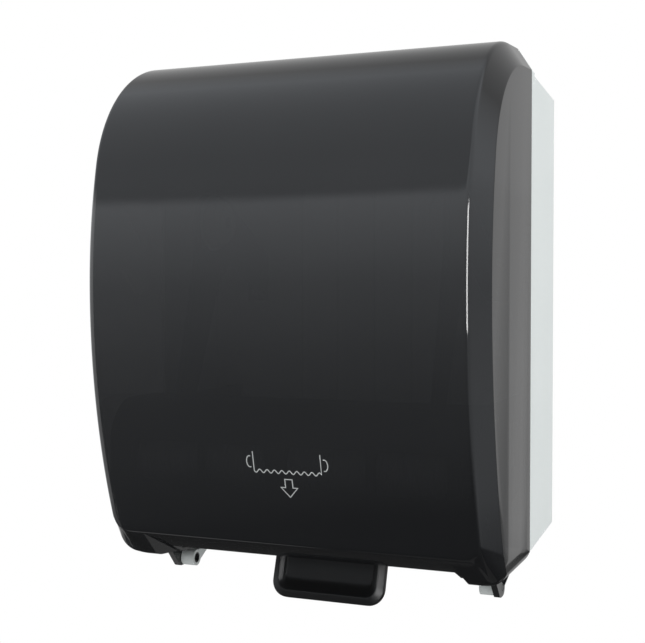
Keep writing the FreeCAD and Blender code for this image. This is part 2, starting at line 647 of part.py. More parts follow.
def tear_screw_spots():
    """Centres of the tear bar's screws, on the front of the chute."""
    return [(index * (tear_half_width - tear_screw_margin), tear_height / 2 - chute_bottom)
            for index in (-1, 0, 1)]


def shroud_bosses():
    """Where the shroud is screwed to the side frames, as (Y, Z)."""
    return ((feed_axis[0] + boss_high_back, frame_top - boss_high_drop),
            (feed_axis[0] + boss_low_back, feed_axis[1] - boss_low_drop))


def sleeves():
    """The sleeves on the feed roller: name, start along X, length."""
    end = frame_inner - sleeve_margin
    return (("outer_left", -end, end - left_seam),
            ("inner_left", left_gap - left_seam, left_seam - left_gap - middle_left),
            ("inner_right", middle_right, right_seam - middle_right),
            ("outer_right", right_seam + right_gap, end - right_seam - right_gap))


# ---------------------------------------------------------------- cover shell

def cover_section(outline, arc_inset, chin, under, bottom, heel, skin):
    """Side view of the cover: top, crown, brow, chin, turned-under edge, underside, rear edge.

    arc_inset takes the front arcs inwards, skin takes every edge inwards by a wall.
    """
    sketch = outline.sketch
    inset = arc_inset + skin
    brow_centre = (brow_radius - cover_depth, belly_height)
    chin_centre = (chin_radius - cover_depth, belly_height)
    offset = brow_radius - crown_radius
    crown_centre = (brow_centre[0] - offset * cosine(brow_angle), brow_centre[1] + offset * sine(brow_angle))
    crown = crown_radius - inset
    crown_end = (crown_centre[0] - crown * sine(crown_slope), crown_centre[1] + crown * cosine(crown_slope))
    top_rear = (-cover_rear, crown_end[1] - (cover_rear + crown_end[0]) * tangent(crown_slope))
    brow = brow_radius - inset
    brow_end = (brow_centre[0] - brow * cosine(brow_angle), brow_centre[1] + brow * sine(brow_angle))
    belly = (inset - cover_depth, belly_height)
    sweep = chin_radius - arc_inset
    reach = chin_radius - inset
    away = sweep * sine(chin + under) - skin
    along = root(reach * reach - away * away)
    crease = (chin_centre[0] - away * sine(under) - along * cosine(under),
              chin_centre[1] - away * cosine(under) + along * sine(under))
    floor = skin - bottom
    rise = crease[1] - floor
    heel_corner = (crease[0] + rise * cosine(under) / sine(under), floor)
    rear_bottom = (-cover_rear, floor)
    top = sketch.addGeometry(Part.LineSegment(spot(top_rear), spot(crown_end)))
    outline.fix(top, 1, *top_rear)
    outline.fix(top, 2, *crown_end)
    last, start = (top, 2), crown_end
    for centre, end in ((crown_centre, brow_end), (brow_centre, belly), (chin_centre, crease)):
        arc, (first, second) = add_arc(sketch, spot(start), spot(end), spot(centre))
        outline.rule("Coincident", *last, arc, first)
        outline.fix(arc, 3, *centre)
        outline.rule("DistanceY", -1, 1, arc, second, end[1].value, amount=end[1])
        last, start = (arc, second), end
    corner = (heel_corner[0], heel_corner[1], heel)
    bend = corner_points(crease, corner, rear_bottom)
    chin_line = sketch.addGeometry(Part.LineSegment(spot(crease), bend[0]))
    base_line = sketch.addGeometry(Part.LineSegment(bend[1], spot(rear_bottom)))
    rear_line = sketch.addGeometry(Part.LineSegment(spot(rear_bottom), spot(top_rear)))
    outline.rule("Coincident", *last, chin_line, 1)
    outline.join_lines(chin_line, base_line, corner, bend)
    outline.rule("Coincident", base_line, 2, rear_line, 1)
    outline.rule("Coincident", rear_line, 2, top, 1)
    outline.fix(rear_line, 1, *rear_bottom)
    return outline


def cover_form(label, skin, half, inner_bevel, side_skin):
    """The cover's full form: a middle pad and a ruled bevel on each side."""
    piece = Piece(label)
    middle = half - inner_bevel

    def panel(offset):
        return cover_section(piece.outline("YZ", offset), Size.of(0.0), chin_angle, under_angle,
                             cover_bottom, heel_radius - skin, skin)

    def side(offset):
        return cover_section(piece.outline("YZ", offset), bevel_depth, side_chin_angle, side_under_angle,
                             cover_bottom - bevel_depth, side_heel_radius, side_skin)

    piece.pad(panel(-middle), 2 * middle)
    piece.loft(panel(middle), side(half))
    piece.loft(panel(-middle), side(-half))
    return piece


def relief_cutter(label, raise_by, widen_by):
    """The hand relief under the chin, a flared slab that slopes back from the crease."""
    crease_y = chin_radius - cover_depth - chin_radius * cosine(chin_angle)
    crease_z = belly_height - chin_radius * sine(chin_angle)
    start = (crease_y + relief_start * cosine(under_angle), crease_z - relief_start * sine(under_angle))
    piece = Piece(label)
    top = relief_half_width + widen_by
    low = top + relief_flare
    drop = -relief_drop - raise_by
    front = piece.outline("XZ", 0.0)
    front.polygon((-low, drop), (low, drop), (top, raise_by), (-top, raise_by))
    piece.feature("Pad", front, Length=cover_depth / 2, Reversed=True)
    body = piece.body
    put(body, 0.0, start[0], start[1], -relief_slope)
    return body


def make_cover():
    slant = root(bevel_width * bevel_width + bevel_depth * bevel_depth)
    half_turn = (slant - bevel_width) / bevel_depth
    outer = cover_form("cover_outer", Size.of(0.0), cover_half, bevel_width, Size.of(0.0))
    side_skin = cover_wall * (1 - half_turn) / (1 + half_turn)
    inner_bevel = bevel_width - cover_wall * (1 - half_turn)
    inner = cover_form("cover_hollow", cover_wall, cover_half - cover_wall, inner_bevel, side_skin)
    cutter = relief_cutter("relief_outer", Size.of(0.0), Size.of(0.0))
    relieved = subtract("CoverRelieved", outer.body, cutter)
    backing = relief_cutter("relief_inner", cover_wall, cover_wall)
    hollow = subtract("CoverHollowRelieved", inner.body, backing)
    shell = subtract("CoverOpen", relieved, hollow)
    mouth = Piece("cover_mouth")
    side_view = mouth.outline("YZ", -mouth_half_width)
    side_view.rectangle((-mouth_front, -cover_bottom - relief_drop), (0.0, -mouth_roof))
    mouth.pad(side_view, 2 * mouth_half_width)
    opened = subtract("CoverMouthed", shell, mouth.body)
    bore = Piece("lock_bore")
    crown = top_height(lock_depth)
    bore.pad(bore.outline("XY", crown / 2).circle((0.0, -lock_depth), lock_radius + running_fit), crown)
    drilled = subtract("CoverDrilled", opened, bore.body)
    arms = [hinge_arm(name, sign) for name, sign in sides()]
    return node(join("CoverShell", [drilled] + arms), "cover_shell")


def hinge_arm(name, sign):
    """The moulded arm that carries a hinge pin: a tapering plate with a gusset behind it."""
    inner = barrel_inner + barrel_length + hinge_gap
    outer = inner + arm_thickness
    root_z = cover_wall / 2 - cover_bottom
    y, z = hinge_axis
    piece = Piece(f"{name}_hinge_arm")
    plate = piece.outline("YZ", span(sign, inner, arm_thickness))
    plate.polygon((y - arm_root_reach, root_z), (y - barrel_radius, z - barrel_radius, arm_corner),
                  (y + barrel_radius, z - barrel_radius, arm_corner), (y + barrel_radius, root_z))
    piece.pad(plate, arm_thickness)
    gusset = piece.outline("XZ", -y - barrel_radius)
    gusset.polygon((sign * (outer - weld), root_z), (sign * (outer + arm_flare), root_z),
                   (sign * outer, z), (sign * (outer - weld), z))
    piece.pad(gusset, gusset_thickness)
    drill(piece, sign, inner, arm_thickness, hinge_axis, hinge_pin_radius)
    return piece.body


def make_hinge_pins():
    for name, sign in sides():
        reach = barrel_length - hinge_pin_recess + hinge_gap + arm_thickness
        start = span(sign, barrel_inner + hinge_pin_recess, reach)
        pin = cylinder(f"{name.title()}Pin", hinge_pin_radius, reach, start, *hinge_axis)
        node(pin, f"{name}_hinge_pin")


# ---------------------------------------------------------------- back housing

def tray_section(outline, half, top, bottom):
    """Front view of the tray: bevelled upper corners, square lower ones."""
    shoulder = half - tray_bevel_width
    crest = top + tray_bevel_height
    return outline.polygon((-half, -bottom), (half, -bottom), (half, top),
                           (shoulder, crest), (-shoulder, crest), (-half, top))


def rim_section(outline, inset, drop=0.0):
    """Front view of the rim: it follows the rear edge of the cover, its top lowered by drop."""
    top = top_height(cover_rear) - inset - drop
    side = top - bevel_depth
    half = cover_half - inset
    return outline.polygon((-half, -tray_bottom_front), (half, -tray_bottom_front), (half, side),
                           (half - bevel_width, top), (bevel_width - half, top), (-half, side))


def round_heel(piece):
    """Rounds the tray's lower rear edge, from the back plane to the sloping underside."""
    reach = 2 * tray_heel_radius
    heel = piece.outline("YZ", -cover_half)
    heel.polygon((0.0, reach - tray_bottom_rear), (0.0, -tray_bottom_rear, tray_heel_radius),
                 (-reach, floor_height(reach)), (-reach, -tray_bottom_front - past),
                 (past, -tray_bottom_front - past), (past, reach - tray_bottom_rear))
    piece.pocket(heel, cover_width)


def hollow_tray(piece):
    """Opens the tray: inside, floor, lip and the notch for the lock."""
    wall = housing_wall
    inner_half = housing_half_width - wall
    front = piece.outline("XZ", tray_front)
    rear = piece.outline("XZ", wall)
    tray_section(front, inner_half, tray_top_front - wall, tray_bottom_front - wall)
    tray_section(rear, inner_half, tray_top_rear - wall, tray_bottom_rear - wall)
    piece.loft(front, rear, "SubtractiveLoft")
    lip_hollow = rim_section(piece.outline("XZ", tray_front), cover_wall + lip_gap + lip_wall, lip_drop())
    piece.pocket(lip_hollow, cover_depth)
    floor_cut = piece.outline("YZ", -bay_half_width)
    floor_cut.rectangle((-cover_depth, -cover_bottom), (-bay_rear, -tray_bottom_rear / 2))
    piece.pocket(floor_cut, 2 * bay_half_width)
    lip_cut = piece.outline("YZ", -cover_half)
    lip_cut.rectangle((-cover_depth, -cover_bottom), (rim_gap / 2 - cover_rear, lip_end - tray_bottom_front))
    piece.pocket(lip_cut, cover_width)
    lock_notch = piece.outline("XZ", cover_rear - rim_gap)
    notch_half = cam_reach + 2 * lip_gap
    lock_notch.rectangle((-notch_half, tray_top_front), (notch_half, cover_depth))
    piece.pocket(lock_notch, rim_gap + lip_reach + past)


def lip_drop():
    """How much lower the inner lip's front end lies than the cover's rear edge."""
    return lip_reach * tangent(crown_slope)


def hinge_barrel(piece, sign):
    """A hinge barrel under the tray, on its bracket."""
    y, z = hinge_axis
    rear = rim_gap - cover_rear
    bracket = piece.outline("YZ", span(sign, barrel_inner, barrel_length))
    bracket.polygon((y, z + barrel_radius - weld), (rear, z + barrel_radius + weld),
                    (rear, 2 * weld - tray_bottom_front), (-bracket_rear, floor_height(bracket_rear) + weld),
                    (-bracket_knee, weld - cover_bottom), (y, z - barrel_radius + weld))
    piece.pad(bracket, barrel_length)
    barrel = piece.outline("YZ", span(sign, barrel_inner, barrel_length))
    piece.pad(barrel.circle(hinge_axis, barrel_radius), barrel_length)
    drill(piece, sign, barrel_inner, barrel_length, hinge_axis, hinge_pin_radius + running_fit)


def make_housing():
    piece = Piece("back_housing")
    half = housing_half_width
    front = tray_section(piece.outline("XZ", tray_front), half, tray_top_front, tray_bottom_front)
    rear = tray_section(piece.outline("XZ", 0.0), half, tray_top_rear, tray_bottom_rear)
    piece.loft(front, rear)
    round_heel(piece)
    piece.pad(rim_section(piece.outline("XZ", rim_rear), rim_inset), cover_rear - rim_gap - rim_rear)
    lip = rim_section(piece.outline("XZ", tray_front), cover_wall + lip_gap, lip_drop())
    piece.pad(lip, cover_rear + lip_reach - tray_front)
    hollow_tray(piece)
    for row in (-1, 1):
        for side in (-1, 1):
            hole = piece.outline("XZ", -past)
            hole.circle((side * screw_pitch_x / 2, row * screw_pitch_z / 2), wall_hole_radius)
            piece.pocket(hole, housing_wall + 2 * past)
    for x, z in frame_screw_spots() + arm_screw_spots():
        pilot = piece.outline("XZ", pilot_floor)
        piece.pocket(pilot.circle((x, z), screw_shank_radius), housing_wall)
    for index in range(-2, 3):
        x = index * rib_pitch
        rib = piece.outline("XZ", housing_wall)
        rib.rectangle((x - rib_width / 2, rib_end_gap - tray_bottom_rear),
                      (x + rib_width / 2, tray_top_rear - rib_end_gap))
        piece.pad(rib, rib_height)
    for name, sign in sides():
        hinge_barrel(piece, sign)
    piece.finish()


# ---------------------------------------------------------------- side frames and shroud

def make_side_frames():
    for name, sign in sides():
        piece = Piece(f"{name}_side_frame")
        feed_y, feed_z = feed_axis
        lever_y, lever_z = lever_axis
        corner = frame_corner
        plate = piece.outline("YZ", span(sign, frame_inner, frame_thickness))
        plate.polygon((feed_y - frame_nose, feed_z - frame_nose, corner),
                      (feed_y - frame_nose, feed_z + frame_brow, corner),
                      (feed_y + frame_shoulder, frame_top, corner), (-housing_wall, frame_top),
                      (-housing_wall, frame_foot),
                      (lever_y + frame_haunch_rear, lever_z - frame_haunch, corner),
                      (lever_y - frame_belly_front, lever_z - frame_belly, corner),
                      (feed_y + frame_shoulder, feed_z - frame_keel, corner))
        piece.pad(plate, frame_thickness)
        flange = piece.outline("YZ", span(sign, frame_outer, frame_flange))
        flange.rectangle((-housing_wall - flange_thickness, frame_foot), (-housing_wall, frame_top))
        piece.pad(flange, frame_flange)
        window = piece.outline("YZ", span(sign, frame_inner - past, frame_thickness + 2 * past))
        front, rear = lever_y + frame_window_gap, -housing_wall - frame_post
        high, low = frame_top - frame_beam, lever_z + frame_sill
        window.polygon((front, high, frame_window_corner), (front, low, frame_window_corner),
                       (rear, low, frame_window_corner), (rear, high, frame_window_corner))
        piece.pocket(window, frame_thickness + 2 * past)
        for axis, radius in ((feed_axis, shaft_radius + bush_wall), (lever_axis, shaft_radius + bush_wall),
                             (pinch_axis, pinch_shaft_radius + bush_wall)):
            drill(piece, sign, frame_inner, frame_thickness, axis, radius)
        for x, z in frame_screw_spots():
            hole = piece.outline("XZ", 0.0)
            piece.pocket(hole.circle((x, z), screw_shank_radius), housing_wall + flange_thickness + past)
        for boss in shroud_bosses():
            drill(piece, sign, frame_inner, frame_thickness, boss, screw_shank_radius)
        piece.finish()


def make_bushes(label, axis, radius):
    """A flanged bush in each side frame."""
    bushes = []
    for name, sign in sides():
        piece = Piece(f"{name}_{label}")
        ring = piece.outline("YZ", span(sign, frame_inner, frame_thickness))
        piece.pad(ring.circle(axis, radius + bush_wall), frame_thickness)
        flange = piece.outline("YZ", span(sign, frame_inner - bush_flange, bush_flange))
        piece.pad(flange.circle(axis, radius + bush_wall + bush_flange_reach), bush_flange)
        length = frame_thickness + bush_flange
        drill(piece, sign, frame_inner - bush_flange, length, axis, radius + running_fit)
        bushes.append(piece.body)
    node(group(label.title().replace("_", ""), bushes), label)


def shroud_profile(outline, skin):
    """Side view of the shroud, from its top rear over the front and under to the chute."""
    y, z = feed_axis
    front = skin - shroud_front
    return outline.polygon((y + shroud_back, shroud_top - skin), (y + shroud_back, z - shroud_heel + skin),
                           (y + shroud_keel_back, z - shroud_keel + skin),
                           (y - shroud_toe_front + skin / 2, z - shroud_toe + skin, shroud_toe_radius - skin),
                           (front, z - shroud_lip, shroud_lip_radius - skin),
                           (front, shroud_top - skin, shroud_radius - skin))


def make_shroud():
    piece = Piece("roller_shroud")
    y, z = feed_axis
    piece.pad(shroud_profile(piece.outline("YZ", -shroud_half_width), Size.of(0.0)), 2 * shroud_half_width)
    piece.pocket(shroud_profile(piece.outline("YZ", -shroud_inner), shroud_wall), 2 * shroud_inner)
    far = y + shroud_back + past
    deep = z - shroud_keel - past
    rear = piece.outline("YZ", -shroud_half_width - past)
    rear.polygon((far, deep), (far, shroud_top + past), (y + shroud_open_top, shroud_top + past),
                 (y + shroud_open_top, z + shroud_open_rise), (y + shroud_open_low, z - shroud_open_drop),
                 (y + shroud_open_low, deep))
    piece.pocket(rear, 2 * shroud_half_width + 2 * past)
    half_window = window_height / 2
    for name, start, length in sleeves():
        near = start + window_margin
        end = start + length - window_margin
        window = piece.outline("XZ", feed_depth)
        window.polygon((near, z - half_window, window_corner), (end, z - half_window, window_corner),
                       (end, z + half_window, window_corner), (near, z + half_window, window_corner))
        piece.pocket(window, cover_depth / 2)
    half_slot = wheel_radius * wheel_slot
    slot = piece.outline("XZ", feed_depth)
    slot.rectangle((frame_outer, z - half_slot), (shroud_inner, z + half_slot))
    piece.pocket(slot, cover_depth / 2)
    reach = shroud_inner - frame_outer
    for name, sign in sides():
        for boss in shroud_bosses():
            outline = piece.outline("YZ", span(sign, frame_outer, reach))
            piece.pad(outline.circle(boss, shroud_boss_radius), reach)
            drill(piece, sign, frame_outer, reach + shroud_wall, boss, screw_shank_radius)
    piece.finish()


# ---------------------------------------------------------------- feed roller and gears

def make_feed_roller():
    reach = gear_outer + clip_thickness
    node(cylinder("FeedShaft", shaft_radius, reach + gear_outer, -reach, *feed_axis), "feed_shaft")
    core = Piece("feed_roller_core")
    half = frame_inner - bush_flange - past
    lining = core_radius - core_wall
    rim = half - core_wall
    cone = half - core_cone
    hub = shaft_radius + core_hub_wall
    ends = core.outline("XY")
    ends.polygon((-half, shaft_radius), (half, shaft_radius), (half, core_radius), (rim, core_radius),
                 (rim, lining), (cone, hub), (-cone, hub), (-rim, lining), (-rim, core_radius),
                 (-half, core_radius))
    core.turn(ends)
    core.turn(core.outline("XY").rectangle((-half, lining), (half, core_radius)))
    put(core.body, 0.0, *feed_axis)
    core.finish()
    for name, start, length in sleeves():
        feed_sleeve(name, start, length)


def feed_sleeve(name, start, length):
    """A grooved sleeve on the feed roller, turned round its axis."""
    sleeve = Piece(f"feed_sleeve_{name}")
    outer, inner = feed_radius, feed_radius - groove_depth
    edge = [(start, core_radius), (start, inner), (start + sleeve_chamfer, outer)]
    count = int(groove_count.value)
    for index in range(1, count + 1):
        middle = start + length / (count + 1) * index
        edge += [(middle - groove_top / 2, outer), (middle - groove_floor / 2, inner),
                 (middle + groove_floor / 2, inner), (middle + groove_top / 2, outer)]
    end = start + length
    edge += [(end - sleeve_chamfer, outer), (end, inner), (end, core_radius)]
    sleeve.turn(sleeve.outline("XY").polygon(*edge))
    put(sleeve.body, 0.0, *feed_axis)
    sleeve.finish()


def make_loading_wheel():
    """Thumb wheel on the right end of the feed shaft, with finger notches round its rim."""
    piece = Piece("loading_wheel")
    start = shroud_inner - wheel_gap - wheel_width
    rim = piece.outline("YZ", start)
    piece.pad(rim.circle((0.0, 0.0), wheel_radius), wheel_width)
    drill(piece, 1, start, wheel_width, (0.0, 0.0), shaft_radius)
    drill(piece, 1, start, wheel_width, (wheel_radius + notch_radius / 2, 0.0), notch_radius)
    pattern = piece.body.newObject("PartDesign::PolarPattern", "WheelNotches")
    pattern.Originals = [piece.body.Tip]
    axis = [part for part in piece.body.Origin.OriginFeatures if part.Role == "X_Axis"][0]
    pattern.Axis = (axis, [""])
    pattern.Angle = 360.0
    bind(pattern, "Occurrences", wheel_notches)
    piece.body.Tip = pattern
    put(piece.body, 0.0, *feed_axis)
    piece.finish()


def make_clip(label, start, axis):
    """Open retaining clip that snaps into a shaft's end groove."""
    piece = Piece(label)
    ring = piece.outline("YZ", start)
    piece.pad(ring.circle((0.0, 0.0), clip_radius), clip_thickness)
    drill(piece, 1, start, clip_thickness, (0.0, 0.0), shaft_radius)
    half = shaft_radius * clip_mouth
    mouth = piece.outline("YZ", start - past)
    piece.pocket(mouth.rectangle((0.0, -half), (clip_radius + past, half)), clip_thickness + 2 * past)
    put(piece.body, 0.0, *axis)
    piece.finish()


# Proportions that gears and springs are usually made to
PRESSURE_ANGLE = 20.0
ADDENDUM = 0.95
DEDENDUM = 1.25
SECTOR_END = 0.7
HUB_SPREAD = 0.9
SPRING_PITCH = 1.15


def involute_gear(module, teeth, first, count, width, backlash, bore, spread=0.0):
    """A spur gear or sector about the X axis, its first tooth centred at an angle from +Y to +Z.

    With fewer teeth than the full circle, the rim follows the teeth and tapers to a hub.
    """
    pressure = math.radians(PRESSURE_ANGLE)
    pitch = module * teeth / 2
    base = pitch * math.cos(pressure)
    tip = pitch + module * ADDENDUM
    foot = pitch - module * DEDENDUM
    half = (math.pi * module / 2 - backlash) / 2 / pitch
    roll = math.tan(pressure) - pressure

    def flank(radius):
        if radius <= base:
            return half + roll
        turn = math.acos(base / radius)
        return half + roll - (math.tan(turn) - turn)

    def at(radius, angle):
        return Vector(0, radius * math.cos(angle), radius * math.sin(angle))

    steps = [max(base, foot) + (tip - max(base, foot)) * step / 4 for step in range(5)]
    edges = []
    whole = count == teeth
    last = None
    first_spot = None
    for index in range(count):
        middle = math.radians(first) + 2 * math.pi * index / teeth
        rising = [at(radius, middle - flank(radius)) for radius in steps]
        falling = [at(radius, middle + flank(radius)) for radius in reversed(steps)]
        root_in = at(foot, middle - flank(steps[0]))
        root_out = at(foot, middle + flank(steps[0]))
        if last is not None:
            edges.append(Part.LineSegment(last, root_in).toShape())
        else:
            first_spot = root_in
        for points, start, end in ((rising, root_in, None), (falling, None, root_out)):
            if start is not None and start.distanceToPoint(points[0]) > 1e-6:
                edges.append(Part.LineSegment(start, points[0]).toShape())
            curve = Part.BSplineCurve()
            curve.interpolate(points)
            edges.append(curve.toShape())
            if start is not None:
                edges.append(Part.LineSegment(points[-1], falling[0]).toShape())
            if end is not None and end.distanceToPoint(points[-1]) > 1e-6:
                edges.append(Part.LineSegment(points[-1], end).toShape())
        last = root_out
    if whole:
        edges.append(Part.LineSegment(last, first_spot).toShape())
    else:
        hub = bore * 2
        start = math.radians(first) - spread
        end = math.radians(first) + 2 * math.pi * (count - 1) / teeth + spread
        outer_end, outer_start = at(foot, end), at(foot, start)
        hub_end, hub_start = at(hub, end + HUB_SPREAD), at(hub, start - HUB_SPREAD)
        middle = at(-hub, (start + end) / 2)
        edges.append(Part.LineSegment(last, outer_end).toShape())
        edges.append(Part.LineSegment(outer_end, hub_end).toShape())
        edges.append(Part.Arc(hub_end, middle, hub_start).toShape())
        edges.append(Part.LineSegment(hub_start, outer_start).toShape())
        edges.append(Part.LineSegment(outer_start, first_spot).toShape())
    face = Part.Face(Part.Wire(Part.__sortEdges__(edges)))
    solid = face.extrude(Vector(width, 0, 0))
    hole = Part.makeCylinder(bore, width + 2, Vector(-1, 0, 0), Vector(1, 0, 0))
    return solid.cut(hole)


def make_gears():
    teeth = int(pinion_teeth.value)
    pinion = doc.addObject("Part::Feature", "DrivePinion")
    gap = -drive_angle.value + 180.0 / teeth
    fit = shaft_radius.value + running_fit.value
    pinion.Shape = involute_gear(gear_module.value, teeth, gap, teeth, gear_width.value,
                                 gear_backlash.value, fit)
    put(pinion, -gear_outer, *feed_axis)
    node(pinion, "drive_pinion")
    count = int(sector_cut_teeth.value)
    whole = int(sector_teeth.value)
    pitch_angle = 360.0 / whole
    first = 180.0 - drive_angle.value - (count - 3) * pitch_angle
    sector = doc.addObject("Part::Feature", "SectorGear")
    sector.Shape = involute_gear(gear_module.value, whole, first, count, gear_width.value,
                                 gear_backlash.value, shaft_radius.value,
                                 spread=math.radians(pitch_angle * SECTOR_END))
    put(sector, -gear_outer, *lever_axis)
    node(sector, "lever_sector_gear")


def make_pinch_roller():
    half = frame_outer
    node(cylinder("PinchShaft", pinch_shaft_radius, 2 * half, -half, *pinch_axis), "pinch_shaft")
    for name, start, length in sleeves():
        piece = Piece(f"pinch_sleeve_{name}")
        near = start + pinch_inset
        reach = length - 2 * pinch_inset
        piece.pad(piece.outline("YZ", near).circle(pinch_axis, pinch_radius), reach)
        drill(piece, 1, near, reach, pinch_axis, pinch_shaft_radius)
        piece.finish()


# ---------------------------------------------------------------- chute and tear bar

def make_chute():
    """The throat under the rollers: a block bent like a funnel, hollowed between its closed ends."""
    piece = Piece("paper_chute")
    y, z = feed_axis
    half = frame_inner - loose_fit
    low = -chute_bottom
    front = -chute_front
    rear = -chute_rear
    tail = (y + chute_tail_back, z - chute_tail_drop)
    block = piece.outline("YZ", -half)
    block.polygon((y + chute_nose_back, z - chute_nose_drop), (front, z - chute_bend_front), (front, low),
                  (rear, low), (rear, z - chute_bend_rear), tail,
                  (tail[0] - chute_wall, tail[1] - chute_tail_wall),
                  (tail[0] - 2 * chute_wall, tail[1] - chute_cheek))
    piece.pad(block, 2 * half)
    throat_half = half - chute_side
    throat = piece.outline("YZ", -throat_half)
    throat.polygon((y + chute_nose_back - chute_wall, z - chute_nose_drop + 3 * chute_wall),
                   (front + chute_wall, z - chute_bend_front + weld), (front + chute_wall, low - past),
                   (rear - chute_wall, low - past), (rear - chute_wall, z - chute_bend_rear + weld / 2),
                   (tail[0] - chute_tail_wall * 2, tail[1] + weld), (y + chute_nose_back / 2, z - chute_wall))
    piece.pocket(throat, 2 * throat_half)
    for spot_xz in tear_screw_spots():
        hole = piece.outline("XZ", chute_front - chute_wall - past)
        piece.pocket(hole.circle(spot_xz, screw_shank_radius), chute_wall + 2 * past)
    piece.finish()


def make_tear_bar():
    """Stamped steel strip; its lower edge is a row of pointed teeth."""
    piece = Piece("tear_bar")
    half = tear_half_width
    tip = -chute_bottom - tooth_height
    top = tip + tear_height
    count = int(round(2 * half.value / tooth_pitch.value))
    step = 2 * half / count
    edge = [(half, top), (-half, top)]
    for index in range(count):
        edge += [(-half + step * index, tip + tooth_height), (-half + step * (index + 0.5), tip)]
    edge.append((half, tip + tooth_height))
    strip = piece.outline("XZ", chute_front)
    strip.polygon(*edge)
    piece.pad(strip, tear_thickness)
    for spot_xz in tear_screw_spots():
        hole = piece.outline("XZ", chute_front - past)
        piece.pocket(hole.circle(spot_xz, screw_shank_radius), tear_thickness + 2 * past)
    piece.finish()


# ---------------------------------------------------------------- push lever

def make_lever():
    """The paddle: a tray with a rim, on a web and a boss that is pressed on the axle."""
    piece = Piece("push_lever")
    half = lever_half_width
    low = -lever_reach
    top = low + paddle_height
    rear = lever_setback - lever_thickness
    face = piece.outline("XZ", rear)
    face.polygon((-half, low, paddle_corner), (half, low, paddle_corner), (half, top, paddle_top_corner),
                 (-half, top, paddle_top_corner))
    piece.pad(face, lever_thickness)
    inner = half - paddle_rim
    floor = low + paddle_rim
    corner = paddle_corner - paddle_rim
    recess = piece.outline("XZ", lever_setback - paddle_recess)
    recess.polygon((-inner, floor, corner), (inner, floor, corner), (inner, top + past), (-inner, top + past))
    piece.pocket(recess, paddle_recess + past)
    web = piece.outline("XZ", rear)
    web_half = lever_boss_half - web_inset
    web.rectangle((-web_half, top - 2 * weld), (web_half, 0.0))
    piece.pad(web, web_thickness)
    boss = piece.outline("YZ", -lever_boss_half)
    piece.pad(boss.circle((0.0, 0.0), lever_boss_radius), 2 * lever_boss_half)
    drill(piece, 1, -lever_boss_half, 2 * lever_boss_half, (0.0, 0.0), shaft_radius)
    put(piece.body, -lever_shift, lever_axis[0], lever_axis[1], -lever_tilt)
    piece.finish()
    axle = cylinder("LeverAxle", shaft_radius, gear_outer + frame_outer + axle_end, -gear_outer, *lever_axis)
    node(axle, "lever_axle")


def make_return_spring():
    """Torsion spring round the axle, one leg towards the chute and one behind the paddle."""
    wire = spring_wire.value
    pitch = wire * SPRING_PITCH
    radius = shaft_radius.value + wire / 2 + loose_fit.value
    turns = spring_turns.value - 0.25
    helix = Part.makeHelix(pitch, pitch * turns, radius)
    front_leg = Part.LineSegment(Vector(radius, -spring_front_leg.value, 0), Vector(radius, 0, 0))
    coil_end = Vector(0, -radius, pitch * turns)
    rear_leg = Part.LineSegment(coil_end, coil_end + Vector(spring_rear_leg.value, 0, 0))
    path = Part.Wire([front_leg.toShape()] + helix.Edges + [rear_leg.toShape()])
    section = Part.makeCircle(wire / 2, front_leg.StartPoint, Vector(0, 1, 0))
    spring = doc.addObject("Part::Feature", "ReturnSpring")
    spring.Shape = path.makePipeShell([Part.Wire(section)], True, True)
    start = lever_boss_half + spring_wire - lever_shift
    put(spring, start, lever_axis[0], lever_axis[1], 90.0, Vector(0, 1, 0))
    node(spring, "lever_return_spring")


# ---------------------------------------------------------------- roll holder

def make_roll_holder():
    for name, sign in sides():
        make_roll_arm(name, sign)
        make_core_hub(name, sign)


def make_roll_arm(name, sign):
    """A plate from the back wall to a roll's end, with a foot, a stub axle and a leg down to the shroud."""
    piece = Piece(f"{name}_roll_arm")
    y, z = roll_axis
    seat = shroud_top + loose_fit
    plate = piece.outline("YZ", span(sign, arm_inner, roll_arm_thickness))
    plate.polygon((feed_axis[0] + arm_toe_front, seat), (feed_axis[0] + arm_toe_rear, seat),
                  (y + arm_eye, z - arm_eye, arm_neck_round), (-housing_wall, arm_foot_low),
                  (-housing_wall, arm_foot_high), (y + arm_eye, z + arm_eye, arm_head_round),
                  (y - arm_eye, z + arm_eye, arm_head_round), (y - arm_eye, z - arm_eye, arm_head_round))
    piece.pad(plate, roll_arm_thickness)
    foot = piece.outline("YZ", span(sign, arm_outer, arm_foot))
    foot.rectangle((-housing_wall - flange_thickness, arm_foot_low), (-housing_wall, arm_foot_high))
    piece.pad(foot, arm_foot)
    stub_length = hub_depth + roll_play
    stub = piece.outline("YZ", span(sign, arm_inner - stub_length, stub_length))
    piece.pad(stub.circle(roll_axis, hub_stub), stub_length)
    for spot_xz in arm_screw_spots():
        hole = piece.outline("XZ", 0.0)
        piece.pocket(hole.circle(spot_xz, screw_shank_radius), housing_wall + flange_thickness + past)
    piece.finish()


def make_core_hub(name, sign):
    """The plug that turns on an arm's stub and fits the roll's core."""
    hub = Piece(f"{name}_core_hub")
    bore = hub_stub + running_fit
    face = arm_inner - loose_fit
    end = arm_inner - hub_depth - roll_play + loose_fit
    seat = face - hub_flange_thickness
    edge = hub.outline("XY")
    edge.polygon((sign * face, bore), (sign * face, hub_flange), (sign * seat, hub_flange),
                 (sign * seat, hub_radius), (sign * (end + hub_taper), hub_radius),
                 (sign * end, hub_radius - hub_taper), (sign * end, bore))
    hub.turn(edge)
    put(hub.body, 0.0, *roll_axis)
    hub.finish()


# ---------------------------------------------------------------- lock

